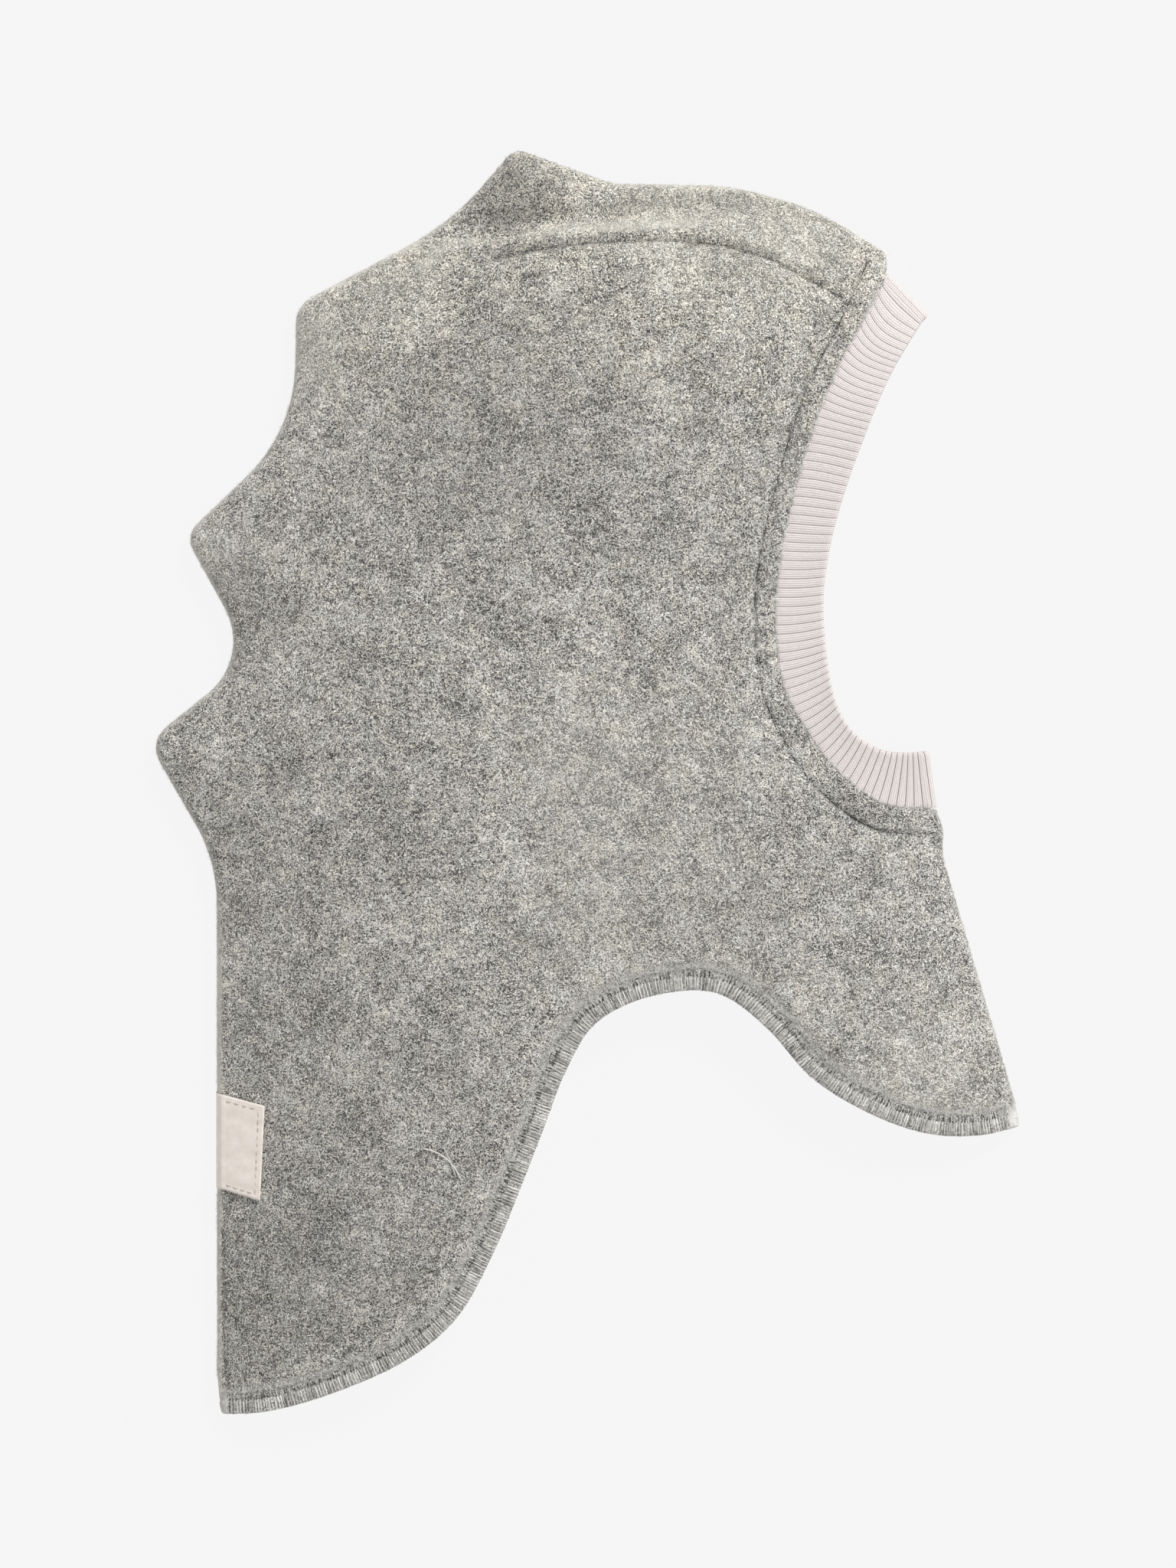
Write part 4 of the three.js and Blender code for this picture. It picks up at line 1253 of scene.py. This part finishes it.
def thread_piece(name, bundles, material, sides=6, lowest=FLOOR_GAP):
    """One piece of round threads, from bundles of paths and their radii."""
    points, faces = tubes(*bundles[0], sides)
    for paths, radius in bundles[1:]:
        more, more_faces = tubes(paths, radius, sides)
        faces = np.vstack([faces, more_faces + len(points)])
        points = np.vstack([points, more])
    points[:, 2] = np.maximum(points[:, 2], lowest)
    return new_piece(name, points, faces, material)


def make_overlock_threads(light, dark):
    """Strands from the needle line round the cut edge, and short stitches above the line."""
    count = stitch_count()
    stations = (np.arange(2 * count) + 0.5) / (2 * count)
    stations = np.clip(stations + rng.normal(0, 0.1, len(stations)) * STITCH_PITCH / count, 0, 1)
    reach = [(NEEDLE_LINE - 0.02, 0.9), (0.52, 1.03), (0.68, 1.02), (0.86, 0.92)]
    reach += [(0.985, 0.66), (0.99, 0.3)]
    short = [(SECOND_LINE + 0.03, 0.92), (0.23, 1.05), (0.3, 1.05), (NEEDLE_LINE - 0.05, 0.9)]
    layers = hem_layers(stations, reach + short)
    pieces = []
    kinds = [("overlock_light", light, 0, 0.17), ("overlock_dark", dark, 1, 0.1)]
    for name, material, first, radius in kinds:
        strands, dashes = [], []
        for layer in layers:
            layer = layer + rng.normal(0, 0.07, layer.shape) * [1, 1, 0.5]
            layer[:, :, 2] -= rng.uniform(-0.04, 0.14, (len(layer), 1))
            slip = rng.uniform(-0.5, 0.3, (len(layer), 1))
            layer[:, 0] += slip * (layer[:, 1] - layer[:, 0])
            strands.append(layer[first::2, : len(reach)])
            dashes.append(layer[first::4, len(reach) :])
        bundles = []
        for paths, thickest in ((strands, 1.4), (dashes, 1.2)):
            paths = np.vstack(paths)
            bundles.append((paths, radius * rng.uniform(0.7, thickest, len(paths))))
        pieces.append(thread_piece(name, bundles, material, 5))
    return pieces


def make_needle_hole_shadows(material):
    """Near-black tubes that stand for the shade in the holes where the needle went in, between the
    strands, and fainter ones inside them.
    """
    count = stitch_count()
    stations = np.clip((np.arange(count) + rng.normal(0.5, 0.07, count)) / count, 0, 1)
    deep = [(SECOND_LINE + 0.05, 0.97), (SECOND_LINE + 0.1, 1.045)]
    deep += [(NEEDLE_LINE, 1.045), (NEEDLE_LINE + 0.05, 0.97)]
    faint = [(SECOND_LINE - 0.035, 0.98), (SECOND_LINE - 0.015, 1.02)]
    faint += [(SECOND_LINE + 0.015, 1.02), (SECOND_LINE + 0.035, 0.98)]
    parts = []
    for layer in hem_layers(stations, deep + faint):
        layer = layer + rng.normal(0, 0.16, (count, 1, 3)) * [1, 1, 0.3]
        parts += [layer[rng.random(count) < 0.7, :4], layer[rng.random(count) < 0.5, 4:]]
    bundles = []
    for paths, radii in ((parts[::2], (0.07, 0.18)), (parts[1::2], (0.1, 0.24))):
        paths = np.vstack(paths)
        bundles.append((paths, rng.uniform(*radii, len(paths))))
    return thread_piece("needle_hole_shadows", bundles, material)


def stray_hairs(material):
    """The two long pale hairs that cross on the back flap."""
    hairs = [
        [(-48.7, -106.0), (-44.7, -107.2), (-41.4, -109.2), (-38.8, -112.2), (-37.2, -115.2)],
        [(-42.8, -105.2), (-41.0, -108.2), (-39.8, -111.4), (-39.2, -113.0), (-38.6, -114.6)],
    ]
    paths = []
    for hair in hairs:
        flat = resample(smooth_path(hair, 0.5), 1.2)
        flat = points_at(flat, np.linspace(0, lengths_along(flat)[-1], 12))
        height = 2 * FLEECE + layer_gap(flat) + 0.55
        paths.append(np.column_stack([flat, height]))
    return thread_piece("stray_hairs", [(paths, 0.17)], material)


# Label


def label_surface(wraps, lengths, skin):
    """Points of the label's face: wrap runs from 1 on the upper leg over 0 at the fold to -1."""
    edge_x = BACK_X
    fold_x = edge_x + SEAM_ROUND
    fold_height = FLEECE + CLEARANCE / 2
    wrap, along = np.meshgrid(wraps, lengths, indexing="ij")
    y = LABEL_MIDDLE - LABEL_SKEW * wrap + along
    bend = SEAM_ROUND / LABEL_LEG
    leg = np.maximum(np.abs(wrap), bend)
    x = edge_x + LABEL_LEG * (leg + LABEL_LEAN * (leg - bend) * along / LABEL_HALF_LENGTH)
    top = 2 * FLEECE + layer_gap(np.dstack([x, y])) + LABEL_EASE + skin
    turn = np.clip(wrap / bend, -1, 1) * math.pi / 2
    rise = np.where(wrap > 0, top - fold_height, fold_height - LABEL_CLOTH + skin)
    curved_x = fold_x - (SEAM_ROUND + 0.05 + 0.4 * skin) * np.cos(turn)
    curved_z = fold_height + rise * np.sin(turn)
    flat_z = np.where(wrap > 0, top, LABEL_CLOTH - skin)
    on_fold = np.abs(wrap) < bend
    return np.dstack([np.where(on_fold, curved_x, x), y, np.where(on_fold, curved_z, flat_z)])


def make_label(material, thread):
    bend = SEAM_ROUND / LABEL_LEG
    legs = np.linspace(1, bend, 22)
    wraps = np.concatenate([legs, np.linspace(bend, -bend, 15)[1:-1], -legs[::-1]])
    lengths = np.linspace(-LABEL_HALF_LENGTH, LABEL_HALF_LENGTH, 40)
    ripple = 0.09 * np.sin(lengths * 0.55) + 0.06 * np.sin(lengths * 1.3 + 1)
    outer = label_surface(wraps, lengths, LABEL_CLOTH)
    inner = label_surface(wraps, lengths, LABEL_CLOTH - 0.4)
    lift = np.clip(wraps, 0, 1)[:, None] * ripple
    outer[..., 2] += lift
    inner[..., 2] += lift
    rows, columns = len(wraps), len(lengths)
    points = np.vstack([outer.reshape(-1, 3), inner.reshape(-1, 3)])
    grid = np.arange(rows * columns).reshape(rows, columns)
    front = [grid[:-1, :-1], grid[:-1, 1:], grid[1:, 1:], grid[1:, :-1]]
    front = np.stack(front, -1).reshape(-1, 4)
    border = np.concatenate([grid[0, :-1], grid[:-1, -1], grid[-1, :0:-1], grid[:0:-1, 0]])
    following = np.roll(border, -1)
    back = rows * columns
    wall = np.column_stack([border, border + back, following + back, following])
    faces = outward(points, np.vstack([front, front[:, ::-1] + back, wall]))
    uv_grid = np.dstack(np.meshgrid(wraps * LABEL_LEG, lengths, indexing="ij")).reshape(-1, 2)
    uv = np.vstack([uv_grid, uv_grid])
    label = new_piece("woven_label", points, faces, material, uv)
    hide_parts("label")
    return label, make_label_stitches(thread)


def make_label_stitches(thread):
    """Running stitches just inside the label's two ends and its long sides."""
    margin = 1.6
    stitch, space = 1.5, 0.75
    dashes = []

    def dash(wraps, lengths):
        rows = zip(wraps, lengths, (0.0, 0.12, 0.12, 0.0))
        dashes.append([label_surface([w], [l], LABEL_CLOTH + lift)[0, 0] for w, l, lift in rows])

    edge = LABEL_HALF_LENGTH - margin
    end = 1 - margin / LABEL_LEG
    for side in (1, -1):
        for start in np.arange(-edge, edge - stitch, stitch + space):
            dash([side * end] * 4, np.linspace(start, start + stitch, 4))
        for start in np.arange(SEAM_ROUND + 0.4, LABEL_LEG - margin - stitch, stitch + space):
            wraps = side * np.linspace(start, start + stitch, 4) / LABEL_LEG
            dash(wraps, [edge] * 4)
            dash(wraps, [-edge] * 4)
    return thread_piece("label_stitches", [(dashes, 0.13)], thread, lowest=0.02)


# The hood

add_camera()
add_studio()

wool = fleece_material()
fleece_right, fleece_left, upper_surface, lower_surface = make_fleece(wool)
rib_band = make_face_band(rib_material())
hem_base = make_hem(overlock_material())
hem_threads = make_overlock_threads(
    thread_material("overlock_light", (0.36, 0.355, 0.335), (0.92, 0.91, 0.87)),
    thread_material("overlock_dark", (0.05, 0.05, 0.047), (0.48, 0.47, 0.445)),
)
# Near-black material for the dark pieces that stand for the shade in the needle holes and in the
# seam groove.
hole_and_groove_shadow = thread_material("hole_and_groove_shadow_black", (0.006, 0.006, 0.0055), (0.05, 0.049, 0.045))
needle_hole_shadows = make_needle_hole_shadows(hole_and_groove_shadow)
label_thread = thread_material("label_thread", (0.47, 0.41, 0.35), (0.68, 0.61, 0.54))
woven_label, label_stitches = make_label(label_material(), label_thread)

light_wool = fibre_material("wool_fibre_light", (0.50, 0.488, 0.455), (0.97, 0.945, 0.885))
dark_wool = fibre_material("wool_fibre_dark", (0.03, 0.029, 0.026), (0.20, 0.194, 0.18))
grey_wool = fibre_material("wool_fibre_grey", (0.24, 0.236, 0.222), (0.90, 0.88, 0.83))
fuzz = [
    fibres("fuzz_light", upper_surface, 49000, (1.3, 3.0), PILE_WIDTH, (0.2, 0.6), light_wool),
    fibres("fuzz_dark", upper_surface, 38000, (1.1, 2.6), PILE_WIDTH, (0.1, 0.5), dark_wool),
    fibres("fuzz_under", lower_surface, 16000, (1.3, 3.2), FIBRE_WIDTH, (0.1, 0.45), light_wool),
    edge_fibres("fuzz_edge", 7000, grey_wool),
    hem_fibres("fuzz_hem_light", 4200, light_wool),
    hem_fibres("fuzz_hem_dark", 2200, dark_wool),
]
seam_groove_shadow = seam_groove_shadows(upper_surface, hole_and_groove_shadow)
strays = stray_hairs(light_wool)
